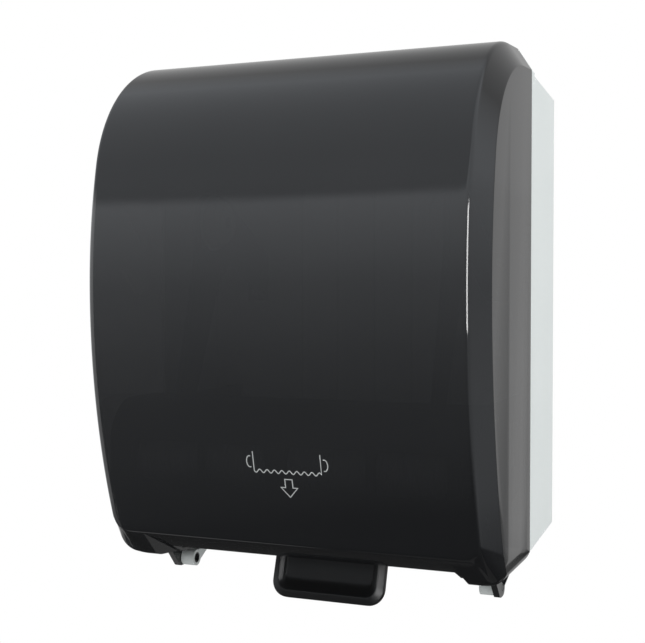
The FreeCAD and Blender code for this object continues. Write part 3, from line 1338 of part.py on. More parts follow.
def make_lock():
    """A flush key cylinder, its collar under the cover's top, its cam and the strike for the cam."""
    y = -lock_depth
    face = crown_height(lock_depth + lock_radius, 0.0) - lock_sink
    foot = face - lock_length
    piece = Piece("lock_cylinder")
    piece.pad(piece.outline("XY", foot).circle((0.0, y), lock_radius), lock_length)
    seat = crown_height(lock_depth + lock_flange, cover_wall) - collar_gap
    piece.pad(piece.outline("XY", seat - lock_collar).circle((0.0, y), lock_flange), lock_collar)
    slot = piece.outline("XY", face - key_slot_depth)
    slot.rectangle((-key_slot_width / 2, y - key_slot_length / 2),
                   (key_slot_width / 2, y + key_slot_length / 2))
    piece.pocket(slot, key_slot_depth + past)
    piece.finish()
    low = foot - cam_thickness
    cam = Piece("lock_cam")
    blade = cam.outline("XY", low)
    blade.polygon((-cam_eye, y - cam_eye, cam_eye_round), (0.0, y - cam_eye), (cam_reach, y - cam_half_width),
                  (cam_reach, y + cam_half_width), (0.0, y + cam_eye), (-cam_eye, y + cam_eye, cam_eye_round))
    cam.pad(blade, cam_thickness)
    tip = cam.outline("XY", low - cam_hook)
    tip.rectangle((cam_reach - cam_thickness, y - cam_half_width), (cam_reach, y + cam_half_width))
    cam.pad(tip, cam_hook)
    cam.finish()
    make_strike(low)


def make_strike(cam_low):
    """A bent strip on the tray's roof, with the tab behind which the cam's tip hooks."""
    strike = Piece("lock_strike")
    thick = strike_thickness
    tab_y = cam_reach - cam_thickness - strike_gap - thick - lock_depth
    tab_top = cam_low - cam_clear
    base = cam_low - cam_hook - strike_gap - thick
    fall = tray_top_fall / (tray_front - housing_wall)
    ceiling = tray_top_front + tray_bevel_height - housing_wall
    rear_top = ceiling - fall * (tray_front - rim_rear)
    front_top = ceiling - fall * (tray_front - rim_rear - thick)
    front_y = -rim_rear - thick
    tab = strike.outline("YZ", -strike_half_width)
    tab.polygon((tab_y, base), (-rim_rear, base), (-rim_rear, rear_top), (front_y, front_top),
                (front_y, base + thick), (tab_y + thick, base + thick), (tab_y + thick, tab_top),
                (tab_y, tab_top))
    strike.pad(tab, 2 * strike_half_width)
    strike.finish()


# ---------------------------------------------------------------- fasteners

def make_screws(label, spots, depth):
    """Pan head screws into the back wall; spots are (x, z), depth is the wall to the heads."""
    screws = []
    for index, spot_xz in enumerate(spots):
        piece = Piece(f"{label}_{index + 1}")
        piece.pad(piece.outline("XZ", depth).circle(spot_xz, screw_head_radius), screw_head_height)
        shank = piece.outline("XZ", pilot_floor)
        piece.pad(shank.circle(spot_xz, screw_shank_radius), depth - pilot_floor)
        screws.append(piece.body)
    node(group(label.title().replace("_", ""), screws), label)


def make_shroud_screws():
    """Pan head screws through the shroud's ends into the side frames."""
    screws = []
    reach = shroud_half_width - frame_inner
    for name, sign in sides():
        for index, boss in enumerate(shroud_bosses()):
            piece = Piece(f"{name}_shroud_screw_{index + 1}")
            head = piece.outline("YZ", span(sign, shroud_half_width, screw_head_height))
            piece.pad(head.circle(boss, screw_head_radius), screw_head_height)
            shank = piece.outline("YZ", span(sign, frame_inner, reach))
            piece.pad(shank.circle(boss, screw_shank_radius), reach)
            screws.append(piece.body)
    node(group("ShroudScrews", screws), "shroud_screws")


def make_tear_bar_screws():
    """Pan head screws that hold the tear bar on the front of the chute."""
    screws = []
    for index, spot_xz in enumerate(tear_screw_spots()):
        piece = Piece(f"tear_screw_{index + 1}")
        head = piece.outline("XZ", chute_front + tear_thickness)
        piece.pad(head.circle(spot_xz, screw_head_radius), tear_head_height)
        shank = piece.outline("XZ", chute_front - chute_wall)
        piece.pad(shank.circle(spot_xz, screw_shank_radius), chute_wall + tear_thickness)
        screws.append(piece.body)
    node(group("TearBarScrews", screws), "tear_bar_screws")


make_cover()
make_hinge_pins()
make_housing()
make_side_frames()
make_shroud()
make_bushes("feed_bushes", feed_axis, shaft_radius)
make_bushes("lever_bushes", lever_axis, shaft_radius)
make_bushes("pinch_bushes", pinch_axis, pinch_shaft_radius)
make_feed_roller()
make_loading_wheel()
make_gears()
make_pinch_roller()
make_chute()
make_tear_bar()
make_lever()
make_return_spring()
make_roll_holder()
make_lock()
make_screws("frame_screws", frame_screw_spots(), housing_wall + flange_thickness)
make_screws("roll_arm_screws", arm_screw_spots(), housing_wall + flange_thickness)
make_shroud_screws()
make_tear_bar_screws()
make_clip("feed_shaft_clip", -(gear_outer + clip_thickness), feed_axis)
make_clip("lever_axle_clip", frame_outer + loose_fit, lever_axis)
doc.recompute()

failed = [thing.Label for thing in doc.Objects if "Invalid" in thing.State or "Error" in thing.State]
for thing in nodes:
    if thing.Shape.isNull() or not thing.Shape.isValid() or not thing.Shape.Solids:
        failed.append(thing.Label)
if failed:
    raise RuntimeError("these did not build: " + ", ".join(failed))
os.makedirs("parts", exist_ok=True)
for thing in nodes:
    thing.Shape.exportStep(os.path.join("parts", thing.Label + ".step"))
    print(f"{thing.Label}: {len(thing.Shape.Solids)} solids, {thing.Shape.Volume / 1000:.1f} cm3")
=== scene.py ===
import math

import bmesh
import bpy
import numpy as np
from mathutils import Matrix, Vector


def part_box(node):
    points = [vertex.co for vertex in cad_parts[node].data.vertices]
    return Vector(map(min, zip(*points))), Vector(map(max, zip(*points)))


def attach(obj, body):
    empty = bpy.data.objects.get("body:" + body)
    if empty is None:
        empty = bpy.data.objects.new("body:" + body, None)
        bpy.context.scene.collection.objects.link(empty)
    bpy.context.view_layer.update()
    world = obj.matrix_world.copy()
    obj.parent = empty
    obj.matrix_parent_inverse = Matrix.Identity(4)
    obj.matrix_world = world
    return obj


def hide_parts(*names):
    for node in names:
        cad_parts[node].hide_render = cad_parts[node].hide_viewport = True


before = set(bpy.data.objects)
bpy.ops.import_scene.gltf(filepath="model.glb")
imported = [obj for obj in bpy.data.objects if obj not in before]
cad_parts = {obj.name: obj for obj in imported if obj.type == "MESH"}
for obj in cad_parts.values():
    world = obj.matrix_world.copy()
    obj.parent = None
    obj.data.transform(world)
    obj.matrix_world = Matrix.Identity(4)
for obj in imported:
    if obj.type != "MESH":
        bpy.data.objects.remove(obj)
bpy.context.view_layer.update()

MM = 0.001


# ---- The room: where the dispenser is looked at
# A plain white studio with soft light from above and from the right. The polished cover mirrors it graded:
# bright above, a window to the right, a grey wall behind, and dark below, where a small floor lies.

scene = bpy.context.scene
scene.view_settings.view_transform = "Standard"

SENSOR, FOCAL_PIXELS, PICTURE_PIXELS = 36.0, 1165.0, 645.0
CAMERA_DOWN, CAMERA_TURN = 1.4313, 22.437
camera_data = bpy.data.cameras.new("camera")
camera_data.sensor_width = SENSOR
camera_data.lens = SENSOR * FOCAL_PIXELS / PICTURE_PIXELS
camera = bpy.data.objects.new("camera", camera_data)
camera.location = (0.36439, -1.00844, 0.01545)
camera.rotation_euler = (math.radians(90 - CAMERA_DOWN), 0.0, math.radians(CAMERA_TURN))
scene.collection.objects.link(camera)
scene.camera = camera


class Field:
    """A shader socket that can be used in sums, products and comparisons."""

    tree = None

    def __init__(self, socket):
        self.socket = socket

    @classmethod
    def node(cls, kind, settings=None, **inputs):
        """Adds a node: its settings first, then the values or links of its sockets, by name."""
        made = cls.tree.nodes.new(kind)
        for name, value in (settings or {}).items():
            if name == "stops":
                cls.ramp(made, value)
            else:
                setattr(made, name, value)
        for name, value in inputs.items():
            socket = made.inputs[int(name[1:])] if name[0] == "_" else made.inputs[name.replace("_", " ")]
            if isinstance(value, Field):
                cls.tree.links.new(value.socket, socket)
            else:
                socket.default_value = value
        return made

    @staticmethod
    def ramp(made, stops):
        """Sets a colour ramp's stops: a place and a light level or colour each."""
        elements = made.color_ramp.elements
        while len(elements) < len(stops):
            elements.new(0.5)
        for element, (place, colour) in zip(elements, stops):
            element.position = place
            element.color = colour if isinstance(colour, tuple) else (colour, colour, colour, 1.0)

    @classmethod
    def math(cls, operation, *values):
        sockets = {f"_{index}": value for index, value in enumerate(values)}
        return cls(cls.node("ShaderNodeMath", {"operation": operation}, **sockets).outputs[0])

    def __add__(self, other):
        return Field.math("ADD", self, other)

    def __sub__(self, other):
        return Field.math("SUBTRACT", self, other)

    def __mul__(self, other):
        return Field.math("MULTIPLY", self, other)

    def __truediv__(self, other):
        return Field.math("DIVIDE", self, other)

    def __radd__(self, other):
        return Field.math("ADD", other, self)

    def __rsub__(self, other):
        return Field.math("SUBTRACT", other, self)

    def __rmul__(self, other):
        return Field.math("MULTIPLY", other, self)

    def over(self, limit):
        """1 where the value is over a limit, and otherwise 0."""
        return Field.math("GREATER_THAN", self, limit)

    def over_zero(self):
        """The value kept above zero, to divide by."""
        return Field.math("MAXIMUM", self, 0.001)

    def between(self, low, high):
        """1 where the value is between two limits, and otherwise 0."""
        return self.over(low) * (1.0 - self.over(high))

    def clamped(self):
        """The value kept between 0 and 1."""
        return Field(Field.node("ShaderNodeClamp", None, Value=self).outputs[0])

    def graded(self, stops):
        """Passes the value through a colour ramp."""
        return Field(Field.node("ShaderNodeValToRGB", {"stops": stops}, Fac=self).outputs["Color"])


def mixed(factor, first, second):
    """Mixes two colours."""
    made = Field.node("ShaderNodeMix", {"data_type": "RGBA"}, _0=factor, _6=first, _7=second)
    return Field(made.outputs[2])


def noise(scale, detail, stretch=None):
    """Noise over the piece's own space, in features per metre."""
    place = Field(Field.node("ShaderNodeTexCoord").outputs["Object"])
    if stretch:
        place = Field(Field.node("ShaderNodeMapping", None, Vector=place, Scale=stretch).outputs[0])
    return Field(Field.node("ShaderNodeTexNoise", None, Vector=place, Scale=scale, Detail=detail).outputs[0])


world = bpy.data.worlds.new("studio")
scene.world = world
world.use_nodes = True
Field.tree = world.node_tree
Field.tree.nodes.clear()
direction = Field(Field.node("ShaderNodeTexCoord").outputs["Generated"])
axes = Field.node("ShaderNodeSeparateXYZ", None, Vector=direction)
to_right, to_back, to_top = Field(axes.outputs["X"]), Field(axes.outputs["Y"]), Field(axes.outputs["Z"])
upward = to_top * 0.5 + 0.5
ROOM_LIGHT = [(0.0, 0.44), (0.25, 0.45), (0.40, 0.49), (0.50, 0.64), (0.60, 0.98), (0.645, 1.15),
              (0.66, 0.86), (1.0, 1.25)]
room = upward.graded(ROOM_LIGHT)
GLOSS_LIGHT = [(0.0, 0.05), (0.14, 0.13), (0.17, 0.20), (0.24, 0.30), (0.31, 0.35), (0.387, 0.51),
               (0.50, 0.84), (0.60, 1.36), (0.645, 1.62), (0.66, 0.86), (1.0, 1.0)]
BAND_TILT = 0.09
tilted = upward - BAND_TILT * (to_right + 0.5)


def cool(stops):
    """Light levels as slightly blue colours."""
    return [(place, (0.96 * light, light, 1.05 * light, 1.0)) for place, light in stops]


in_gloss = tilted.graded(cool(GLOSS_LIGHT))
RIGHT_FROM, RIGHT_GROWTH = 0.3, 3.0
right_hand = ((to_right - RIGHT_FROM) * RIGHT_GROWTH).clamped()
RIGHT_LIGHT = [(0.0, 0.06), (0.20, 0.15), (0.31, 0.74), (0.50, 0.76), (0.62, 1.33), (1.0, 1.45)]
in_gloss = mixed(right_hand, in_gloss, upward.graded(cool(RIGHT_LIGHT)))
WALL_FROM, WALL_GROWTH = 0.2, 4.0
towards_wall = ((to_back - WALL_FROM) * WALL_GROWTH).clamped()
WALL_LIGHT = [(0.0, 0.03), (0.30, 0.03), (0.375, 0.49), (0.45, 0.58), (0.80, 0.58), (1.0, 0.47)]
wall = upward.graded(WALL_LIGHT)
mirrored = mixed(towards_wall, in_gloss, wall)
sideways = to_right / (0.0 - to_back).over_zero()
WINDOW_SIDES, WINDOW_HEIGHTS, WINDOW_LIGHT = (0.45, 1.1), (-0.135, 0.285), 18.0
window = sideways.between(*WINDOW_SIDES) * to_top.between(*WINDOW_HEIGHTS)
mirrored = mixed(window, mirrored, (WINDOW_LIGHT, WINDOW_LIGHT, WINDOW_LIGHT, 1.0))
# Cards low down: the direction each stands in, its half angle in degrees and its light
CARDS = [((-0.743, 0.562, -0.362), 11.0, 0.24), ((-0.487, 0.119, -0.865), 8.0, 0.5),
         ((0.259, 0.598, -0.758), 9.0, 0.3)]
CARD_GROWTH = 3.0
for (card_x, card_y, card_z), reach, light in CARDS:
    cosine = to_right * card_x + to_back * card_y + to_top * card_z
    limit = math.cos(math.radians(reach))
    card = ((cosine - limit) * (CARD_GROWTH / (1.0 - limit))).clamped()
    mirrored = mixed(card, mirrored, (light, light, light, 1.0))
path = Field.node("ShaderNodeLightPath")
glossy = Field(path.outputs["Is Glossy Ray"])
seen = Field(path.outputs["Is Camera Ray"])
through = Field(path.outputs["Is Transmission Ray"])
white = (1.0, 1.0, 1.0, 1.0)
shown = mixed((seen + through).clamped(), mixed(glossy, room, mirrored), white)
background = Field.node("ShaderNodeBackground", None, Color=shown, Strength=1.0)
output = Field.node("ShaderNodeOutputWorld")
Field.tree.links.new(background.outputs[0], output.inputs["Surface"])


def soft_light(name, place, aim, width, height, watts):
    """A rectangular lamp that points at a spot."""
    data = bpy.data.lights.new(name, "AREA")
    data.shape = "RECTANGLE"
    data.size = width
    data.size_y = height
    data.energy = watts
    lamp = bpy.data.objects.new(name, data)
    lamp.location = place
    lamp.rotation_euler = (Vector(aim) - Vector(place)).to_track_quat("-Z", "Y").to_euler()
    lamp.visible_glossy = False
    scene.collection.objects.link(lamp)


soft_light("ceiling_light", (0.3, -1.2, 1.9), (0.0, -0.1, 0.0), 1.6, 1.0, 16.0)
soft_light("side_light", (1.7, -0.2, 0.5), (0.1, -0.1, 0.0), 0.5, 1.2, 7.3)

FLOOR_DROP, FLOOR_RADIUS, FLOOR_GLOW = 1.6, 0.5, 0.85
floor_mesh = bpy.data.meshes.new("floor")
plate = bmesh.new()
bmesh.ops.create_circle(plate, cap_ends=True, segments=96, radius=FLOOR_RADIUS)
bmesh.ops.translate(plate, verts=plate.verts, vec=(0.0, -0.1, -FLOOR_DROP))
plate.to_mesh(floor_mesh)
plate.free()
floor = bpy.data.objects.new("floor", floor_mesh)
scene.collection.objects.link(floor)
floor_finish = bpy.data.materials.new("floor_white")
floor_finish.use_nodes = True
Field.tree = floor_finish.node_tree
Field.tree.nodes.clear()
path = Field.node("ShaderNodeLightPath")
seen = Field(path.outputs["Is Camera Ray"]) + Field(path.outputs["Is Transmission Ray"])
floor_grey = mixed(Field(path.outputs["Is Glossy Ray"]), (0.78, 0.78, 0.78, 1.0), (0.10, 0.10, 0.10, 1.0))
matt = Field.node("ShaderNodeBsdfDiffuse", None, Color=floor_grey)
glow = Field.node("ShaderNodeEmission", None, Color=white, Strength=1.0)
blend = Field.node("ShaderNodeMixShader", None, _0=seen.clamped() * FLOOR_GLOW, _1=Field(matt.outputs[0]),
                   _2=Field(glow.outputs[0]))
Field.node("ShaderNodeOutputMaterial", None, Surface=Field(blend.outputs[0]))
floor_mesh.materials.append(floor_finish)


# ---- Cover
# A large shell moulded in smoked clear plastic, polished outside, that hangs on two arms under its lower
# edge. The front bows forward, the sides are bevelled, and the chin turns under to a relief for the hand.

def finish_material(name):
    """Starts a material with one Principled shader and returns the material and that shader."""
    made = bpy.data.materials.new(name)
    made.use_nodes = True
    Field.tree = made.node_tree
    Field.tree.nodes.clear()
    shader = Field.node("ShaderNodeBsdfPrincipled")
    Field.node("ShaderNodeOutputMaterial", None, Surface=Field(shader.outputs[0]))
    return made, shader


def feed(shader, **inputs):
    """Sets or links the Principled shader's sockets."""
    for name, value in inputs.items():
        socket = shader.inputs[name.replace("_", " ")]
        if isinstance(value, Field):
            Field.tree.links.new(value.socket, socket)
        else:
            socket.default_value = value


def bumped(height, distance):
    """A bump of a height field, in metres."""
    made = Field.node("ShaderNodeBump", None, Height=height, Distance=distance, Strength=1.0)
    return Field(made.outputs[0])


smoke, shader = finish_material("smoked_cover")
back_side = Field(Field.node("ShaderNodeNewGeometry").outputs["Backfacing"])
dust = noise(46.0, 3.0)
handled = noise(9.0, 4.0)
place = Field(Field.node("ShaderNodeTexCoord").outputs["Object"])
height = Field(Field.node("ShaderNodeSeparateXYZ", None, Vector=place).outputs["Z"])
# The smoke is denser below the first height and above the second, over these bands
DENSE_LOW, LOW_BAND = -0.150, 0.035
DENSE_HIGH, HIGH_BAND = 0.084, 0.014
low_part, high_part = (DENSE_LOW - height) / LOW_BAND, (height - DENSE_HIGH) / HIGH_BAND
dense = (low_part.clamped() + high_part.clamped()).clamped()
feed(shader, Base_Color=mixed(handled, (0.008, 0.0085, 0.0095, 1.0), (0.012, 0.0125, 0.0135, 1.0)),
     Roughness=0.035 + 0.05 * dust, IOR=1.49, Alpha=(1.0 - back_side) * (0.945 + 0.055 * dense),
     Normal=bumped(noise(30.0, 1.0), 0.00004))

COVER_HALF = 164.5
PANEL_HALF = 152.2
BEVEL_DEPTH = 19.0
COVER_REAR = 91.0
COVER_DEPTH = 235.0
COVER_BOTTOM = 205.0
BELLY = 20.0
COVER_WALL = 2.6
BROW_RADIUS, BROW_ANGLE = 476.0, math.radians(11.7)
CROWN_RADIUS, CROWN_SLOPE = 115.0, math.radians(4.0)
CHIN_RADIUS = 555.0
# The chin's arc ends at the chin angle, and the slope under it runs back and down at the under angle, each
# given for the middle and for the side; the heel is the bend between that slope and the flat underside
CHIN_ANGLE, SIDE_CHIN_ANGLE = 20.9, 21.4
UNDER_ANGLE, SIDE_UNDER_ANGLE = 36.7, 60.0
HEEL_RADIUS, SIDE_HEEL_RADIUS = 20.0, 4.0
CREASE_RADIUS, EDGE_RADIUS, CHIN_SOFTNESS = 5.0, 1.6, 2.2
BROW_CENTRE = np.array([BROW_RADIUS - COVER_DEPTH, BELLY])
CHIN_CENTRE = np.array([CHIN_RADIUS - COVER_DEPTH, BELLY])
CROWN_CENTRE = BROW_CENTRE + (BROW_RADIUS - CROWN_RADIUS) * np.array([-math.cos(BROW_ANGLE),
                                                                      math.sin(BROW_ANGLE)])


def arc_points(centre, radius, start, end, count):
    """Points on an arc; angles are from straight ahead (-Y) upwards."""
    angles = np.linspace(start, end, count)
    return [centre + radius * np.array([-math.cos(angle), math.sin(angle)]) for angle in angles]


def curve_through(first, corner, last, count):
    """A soft corner between two points."""
    steps = np.linspace(0, 1, count)
    return [(1 - t) ** 2 * first + 2 * t * (1 - t) * corner + t * t * last for t in steps]


def line_points(first, last, count):
    """Evenly spaced points on a straight line."""
    return [first + (last - first) * t for t in np.linspace(0, 1, count)]


def cover_profile(inset, skin, chin_angle, under_angle, bottom, heel, rear, lift):
    """Side view of the cover at one place across it, from the rear edge over the front to the underside."""
    total = inset + skin
    steepest = np.array([-math.sin(CROWN_SLOPE), math.cos(CROWN_SLOPE)])
    crown_end = CROWN_CENTRE + (CROWN_RADIUS - total) * steepest
    top_rear = np.array([-rear, crown_end[1] - (rear + crown_end[0]) * math.tan(CROWN_SLOPE)])
    reach = CHIN_RADIUS - total
    away = (CHIN_RADIUS - inset) * math.sin(chin_angle + under_angle) - skin
    along = math.sqrt(reach * reach - away * away)
    down = np.array([math.cos(under_angle), -math.sin(under_angle)])
    crease = CHIN_CENTRE + away * np.array([-math.sin(under_angle), -math.cos(under_angle)]) - along * down
    floor_z = skin - bottom
    heel_corner = crease + down * ((crease[1] - floor_z) / math.sin(under_angle))
    tangent = heel * math.tan(under_angle / 2)
    crease_angle = math.asin((BELLY - crease[1]) / reach) - lift / reach
    soft = CHIN_SOFTNESS / reach
    raised = CHIN_CENTRE + reach * np.array([-math.cos(crease_angle), -math.sin(crease_angle)])
    heel_start = heel_corner - down * tangent
    turned = (heel_start - raised) / np.linalg.norm(heel_start - raised)
    points = line_points(top_rear, crown_end, 6)
    points += arc_points(CROWN_CENTRE, CROWN_RADIUS - total, math.pi / 2 - CROWN_SLOPE, BROW_ANGLE, 44)[1:]
    points += arc_points(BROW_CENTRE, BROW_RADIUS - total, BROW_ANGLE, 0.0, 26)[1:]
    points += arc_points(CHIN_CENTRE, reach, 0.0, soft - crease_angle, 40)[1:]
    points += curve_through(points[-1], raised, raised + turned * CHIN_SOFTNESS, 7)[1:]
    points += line_points(points[-1], heel_start, 8)[1:]
    points += curve_through(heel_start, heel_corner, heel_corner + np.array([tangent, 0.0]), 12)[1:]
    points += line_points(points[-1], np.array([-rear, floor_z]), 8)[1:]
    return np.array(points)


def cover_stations(half, panel_half, turn_radius, edge_radius):
    """Places across the cover as (x, share of the bevel), from the middle to the side, with soft creases."""
    slant = math.atan2(BEVEL_DEPTH, half - panel_half)
    first = turn_radius * math.tan(slant / 2)
    second = edge_radius * math.tan((math.pi / 2 - slant) / 2)
    aim = np.array([math.cos(slant), math.sin(slant)])
    crease = np.array([panel_half, 0.0])
    edge = np.array([half, BEVEL_DEPTH])
    places = line_points(np.array([0.0, 0.0]), crease - np.array([first, 0.0]), 34)
    places += curve_through(places[-1], crease, crease + aim * first, 11)[1:]
    places += line_points(places[-1], edge - aim * second, 14)[1:]
    places += curve_through(places[-1], edge, edge + np.array([0.0, second]), 6)[1:]
    return [(place[0], place[1] / BEVEL_DEPTH) for place in places]


CORNER_ROUND = 12.0
CORNER_TURN, CORNER_SHARE = 20.0, 0.9
SIDE_TURN, SIDE_DRAW_IN = 3.0, 0.12
SIDE_MIDDLE = Vector((0.0, -130.0, -120.0)) * MM
SLOPE_TOP, SLOPE_RISE = -135.0 * MM, 30.0 * MM
SLOPE_REAR, SLOPE_RUN = -95.0 * MM, 12.0 * MM


def side_edge(shell, row):
    """The side face's outline, drawn in at its lower part; the row it came from forms a slope below it."""
    outline = []
    for vertex in row:
        spot = vertex.co.copy()
        middle = Vector((spot.x, SIDE_MIDDLE.y, SIDE_MIDDLE.z))
        low = min(1.0, max(0.0, (SLOPE_TOP - spot.z) / SLOPE_RISE))
        share = low * min(1.0, max(0.0, (SLOPE_REAR - spot.y) / SLOPE_RUN))
        if share == 0.0:
            outline.append(vertex)
            continue
        share = share * share * (3.0 - 2.0 * share)
        outline.append(shell.verts.new(spot.lerp(middle, SIDE_DRAW_IN * share)))
        vertex.co.x -= math.copysign(SIDE_TURN * MM * share, spot.x)
    return outline


def cover_form(name, skin, rear, soft):
    """A closed solid of the cover's outer form, or with a skin of its hollow, as a mesh object."""
    slant = math.hypot(COVER_HALF - PANEL_HALF, BEVEL_DEPTH)
    half_turn = (slant - (COVER_HALF - PANEL_HALF)) / BEVEL_DEPTH
    side_skin = skin * (1 - half_turn) / (1 + half_turn)
    half = COVER_HALF - skin
    panel_half = PANEL_HALF - skin * half_turn
    radians = math.radians
    stations = cover_stations(half, panel_half, CREASE_RADIUS * soft, EDGE_RADIUS * soft)
    stations = [(-x, share) for x, share in reversed(stations[1:])] + stations
    shell = bmesh.new()
    rows = []
    corner_start = half - (CORNER_TURN - skin)
    for x, share in stations:
        into = max(0.0, min(1.0, (abs(x) - (panel_half - CORNER_ROUND)) / CORNER_ROUND))
        lift = CORNER_ROUND * (1 - math.sqrt(1 - into * into)) * (1 - share)
        past = min(1.0, max(0.0, abs(x) - corner_start) / (CORNER_TURN - skin))
        bottom = COVER_BOTTOM - (CORNER_TURN - skin) * (1 - math.sqrt(1 - past * past * CORNER_SHARE))
        chin = radians(CHIN_ANGLE + (SIDE_CHIN_ANGLE - CHIN_ANGLE) * share)
        under = radians(UNDER_ANGLE + (SIDE_UNDER_ANGLE - UNDER_ANGLE) * share)
        heel = HEEL_RADIUS - skin + (SIDE_HEEL_RADIUS - HEEL_RADIUS + skin) * share
        here = skin + (side_skin - skin) * share
        row = cover_profile(BEVEL_DEPTH * share, here, chin, under, bottom, heel, rear, lift)
        rows.append([shell.verts.new((x * MM, y * MM, z * MM)) for y, z in row])
    turned_in = [side_edge(shell, row) for row in (rows[0], rows[-1])]
    rows = [turned_in[0]] + rows + [turned_in[1]]
    for left, right in zip(rows, rows[1:]):
        for index in range(len(left) - 1):
            corners = list(dict.fromkeys((left[index], left[index + 1], right[index + 1], right[index])))
            if len(corners) > 2:
                shell.faces.new(corners)
    shell.faces.new(rows[0])
    shell.faces.new(list(reversed(rows[-1])))
    rear_loop = list(dict.fromkeys([row[0] for row in rows] + [row[-1] for row in reversed(rows)]))
    shell.faces.new(rear_loop)
    bmesh.ops.recalc_face_normals(shell, faces=shell.faces)
    return as_object(name, shell)


def as_object(name, built):
    """Puts a bmesh into a new object of the scene."""
    mesh = bpy.data.meshes.new(name)
    built.to_mesh(mesh)
    built.free()
    made = bpy.data.objects.new(name, mesh)
    scene.collection.objects.link(made)
    return made


def prism(name, outline, depth, axis="x"):
    """A closed prism: an outline in millimetres in the plane across an axis, from depth[0] to depth[1]."""
    block = bmesh.new()
    ends = []
    for place in depth:
        corners = [(place, a, b) if axis == "x" else (a, place, b) for a, b in outline]
        ends.append([block.verts.new(Vector(corner) * MM) for corner in corners])
    block.faces.new(ends[0])
    block.faces.new(list(reversed(ends[1])))
    for index in range(len(outline)):
        after = (index + 1) % len(outline)
        block.faces.new((ends[0][index], ends[1][index], ends[1][after], ends[0][after]))
    bmesh.ops.recalc_face_normals(block, faces=block.faces)
    return as_object(name, block)


def carve(target, tool, operation="DIFFERENCE"):
    """Cuts a tool out of a piece, or joins it on, and removes the tool."""
    cut = target.modifiers.new("cut", "BOOLEAN")
    cut.operation = operation
    cut.solver = "EXACT"
    cut.object = tool
    flatten(target)
    bpy.data.objects.remove(tool)


def flatten(target):
    """Turns a piece's modifiers into plain mesh."""
    graph = bpy.context.evaluated_depsgraph_get()
    mesh = bpy.data.meshes.new_from_object(target.evaluated_get(graph))
    target.modifiers.clear()
    target.data = mesh


RELIEF_HALF, RELIEF_FLARE, RELIEF_DROP = 127.5, 13.0, 16.0
RELIEF_START, RELIEF_SLOPE = 2.5, 24.8


def relief_block(name, raised):
    """The hand relief under the chin, a slab that slopes back and widens downwards."""
    chin_angle, under_angle = math.radians(CHIN_ANGLE), math.radians(UNDER_ANGLE)
    crease = CHIN_CENTRE + CHIN_RADIUS * np.array([-math.cos(chin_angle), -math.sin(chin_angle)])
    start = crease + RELIEF_START * np.array([math.cos(under_angle), -math.sin(under_angle)])
    top = RELIEF_HALF + raised
    low = top + RELIEF_FLARE
    outline = [(-low, -RELIEF_DROP - raised), (low, -RELIEF_DROP - raised), (top, raised), (-top, raised)]
    slab = prism(name, outline, (0.0, COVER_DEPTH / 2), "y")
    slope = Matrix.Rotation(math.radians(-RELIEF_SLOPE), 4, "X")
    slab.data.transform(Matrix.Translation(Vector((0.0, start[0], start[1])) * MM) @ slope)
    return slab


OPEN_REAR, INNER_SOFTNESS = 1.0, 0.6
cover = cover_form("cover", 0.0, COVER_REAR, 1.0)
hollow = cover_form("cover_hollow", COVER_WALL, COVER_REAR - OPEN_REAR, INNER_SOFTNESS)
carve(cover, relief_block("relief", 0.0))
carve(hollow, relief_block("relief_inside", COVER_WALL))
carve(cover, hollow)
LOCK_PLACE, LOCK_BORE, BORE_DEPTH = Vector((0.0, -116.0, 205.0)) * MM, 8.05 * MM, 20.0 * MM
lock_bore = bmesh.new()
bmesh.ops.create_cone(lock_bore, cap_ends=True, segments=72, radius1=LOCK_BORE, radius2=LOCK_BORE,
                      depth=BORE_DEPTH, matrix=Matrix.Translation(LOCK_PLACE))
carve(cover, as_object("lock_bore", lock_bore))
HINGE = (-105.0, -218.4)
ARM_ROOT = COVER_WALL / 2 - COVER_BOTTOM
ROUND_STEPS = 8


def rounded(corners):
    """An outline whose corners (a, b, radius) are rounded."""
    outline = []
    for index, (a, b, radius) in enumerate(corners):
        here = Vector((a, b))
        if not radius:
            outline.append((a, b))
            continue
        back = (Vector(corners[index - 1][:2]) - here).normalized()
        on = (Vector(corners[(index + 1) % len(corners)][:2]) - here).normalized()
        half = back.angle(on) / 2
        centre = here + (back + on).normalized() * radius / math.sin(half)
        start = here + back * radius / math.tan(half) - centre
        turn = start.angle_signed(here + on * radius / math.tan(half) - centre)
        for step in range(ROUND_STEPS + 1):
            outline.append(tuple(centre + Matrix.Rotation(-turn * step / ROUND_STEPS, 2) @ start))
    return outline


ARM_NEAR, ARM_FAR, ARM_FLARE, WELD = 141.0, 146.0, 6.0, 1.0
ARM_FRONT, EYE_FRONT, EYE_REACH, EYE_ROUND = -132.0, 7.6, 7.0, 6.5
WEB_FRONT, WEB_REAR = -101.0, -98.0
for side in (-1, 1):
    plate = [(ARM_FRONT, ARM_ROOT, 0), (HINGE[0] - EYE_FRONT, HINGE[1] - EYE_REACH, EYE_ROUND),
             (HINGE[0] + EYE_REACH, HINGE[1] - EYE_REACH, EYE_ROUND), (HINGE[0] + EYE_REACH, ARM_ROOT, 0)]
    reach = (ARM_NEAR, ARM_FAR) if side > 0 else (-ARM_FAR, -ARM_NEAR)
    carve(cover, prism("arm", rounded(plate), reach), "UNION")
    web = [(side * (ARM_FAR - WELD), ARM_ROOT), (side * (ARM_FAR + ARM_FLARE), ARM_ROOT),
           (side * ARM_FAR, HINGE[1]), (side * (ARM_FAR - WELD), HINGE[1])]
    carve(cover, prism("arm_web", web, (WEB_FRONT, WEB_REAR), "y"), "UNION")
MOUTH_HALF, MOUTH_FRONT, MOUTH_ROOF, BELOW_ALL = 122.0, -159.0, -192.0, -221.0
mouth = [(MOUTH_FRONT, BELOW_ALL), (0.0, BELOW_ALL), (0.0, MOUTH_ROOF), (MOUTH_FRONT, MOUTH_ROOF)]
carve(cover, prism("mouth", mouth, (-MOUTH_HALF, MOUTH_HALF)))
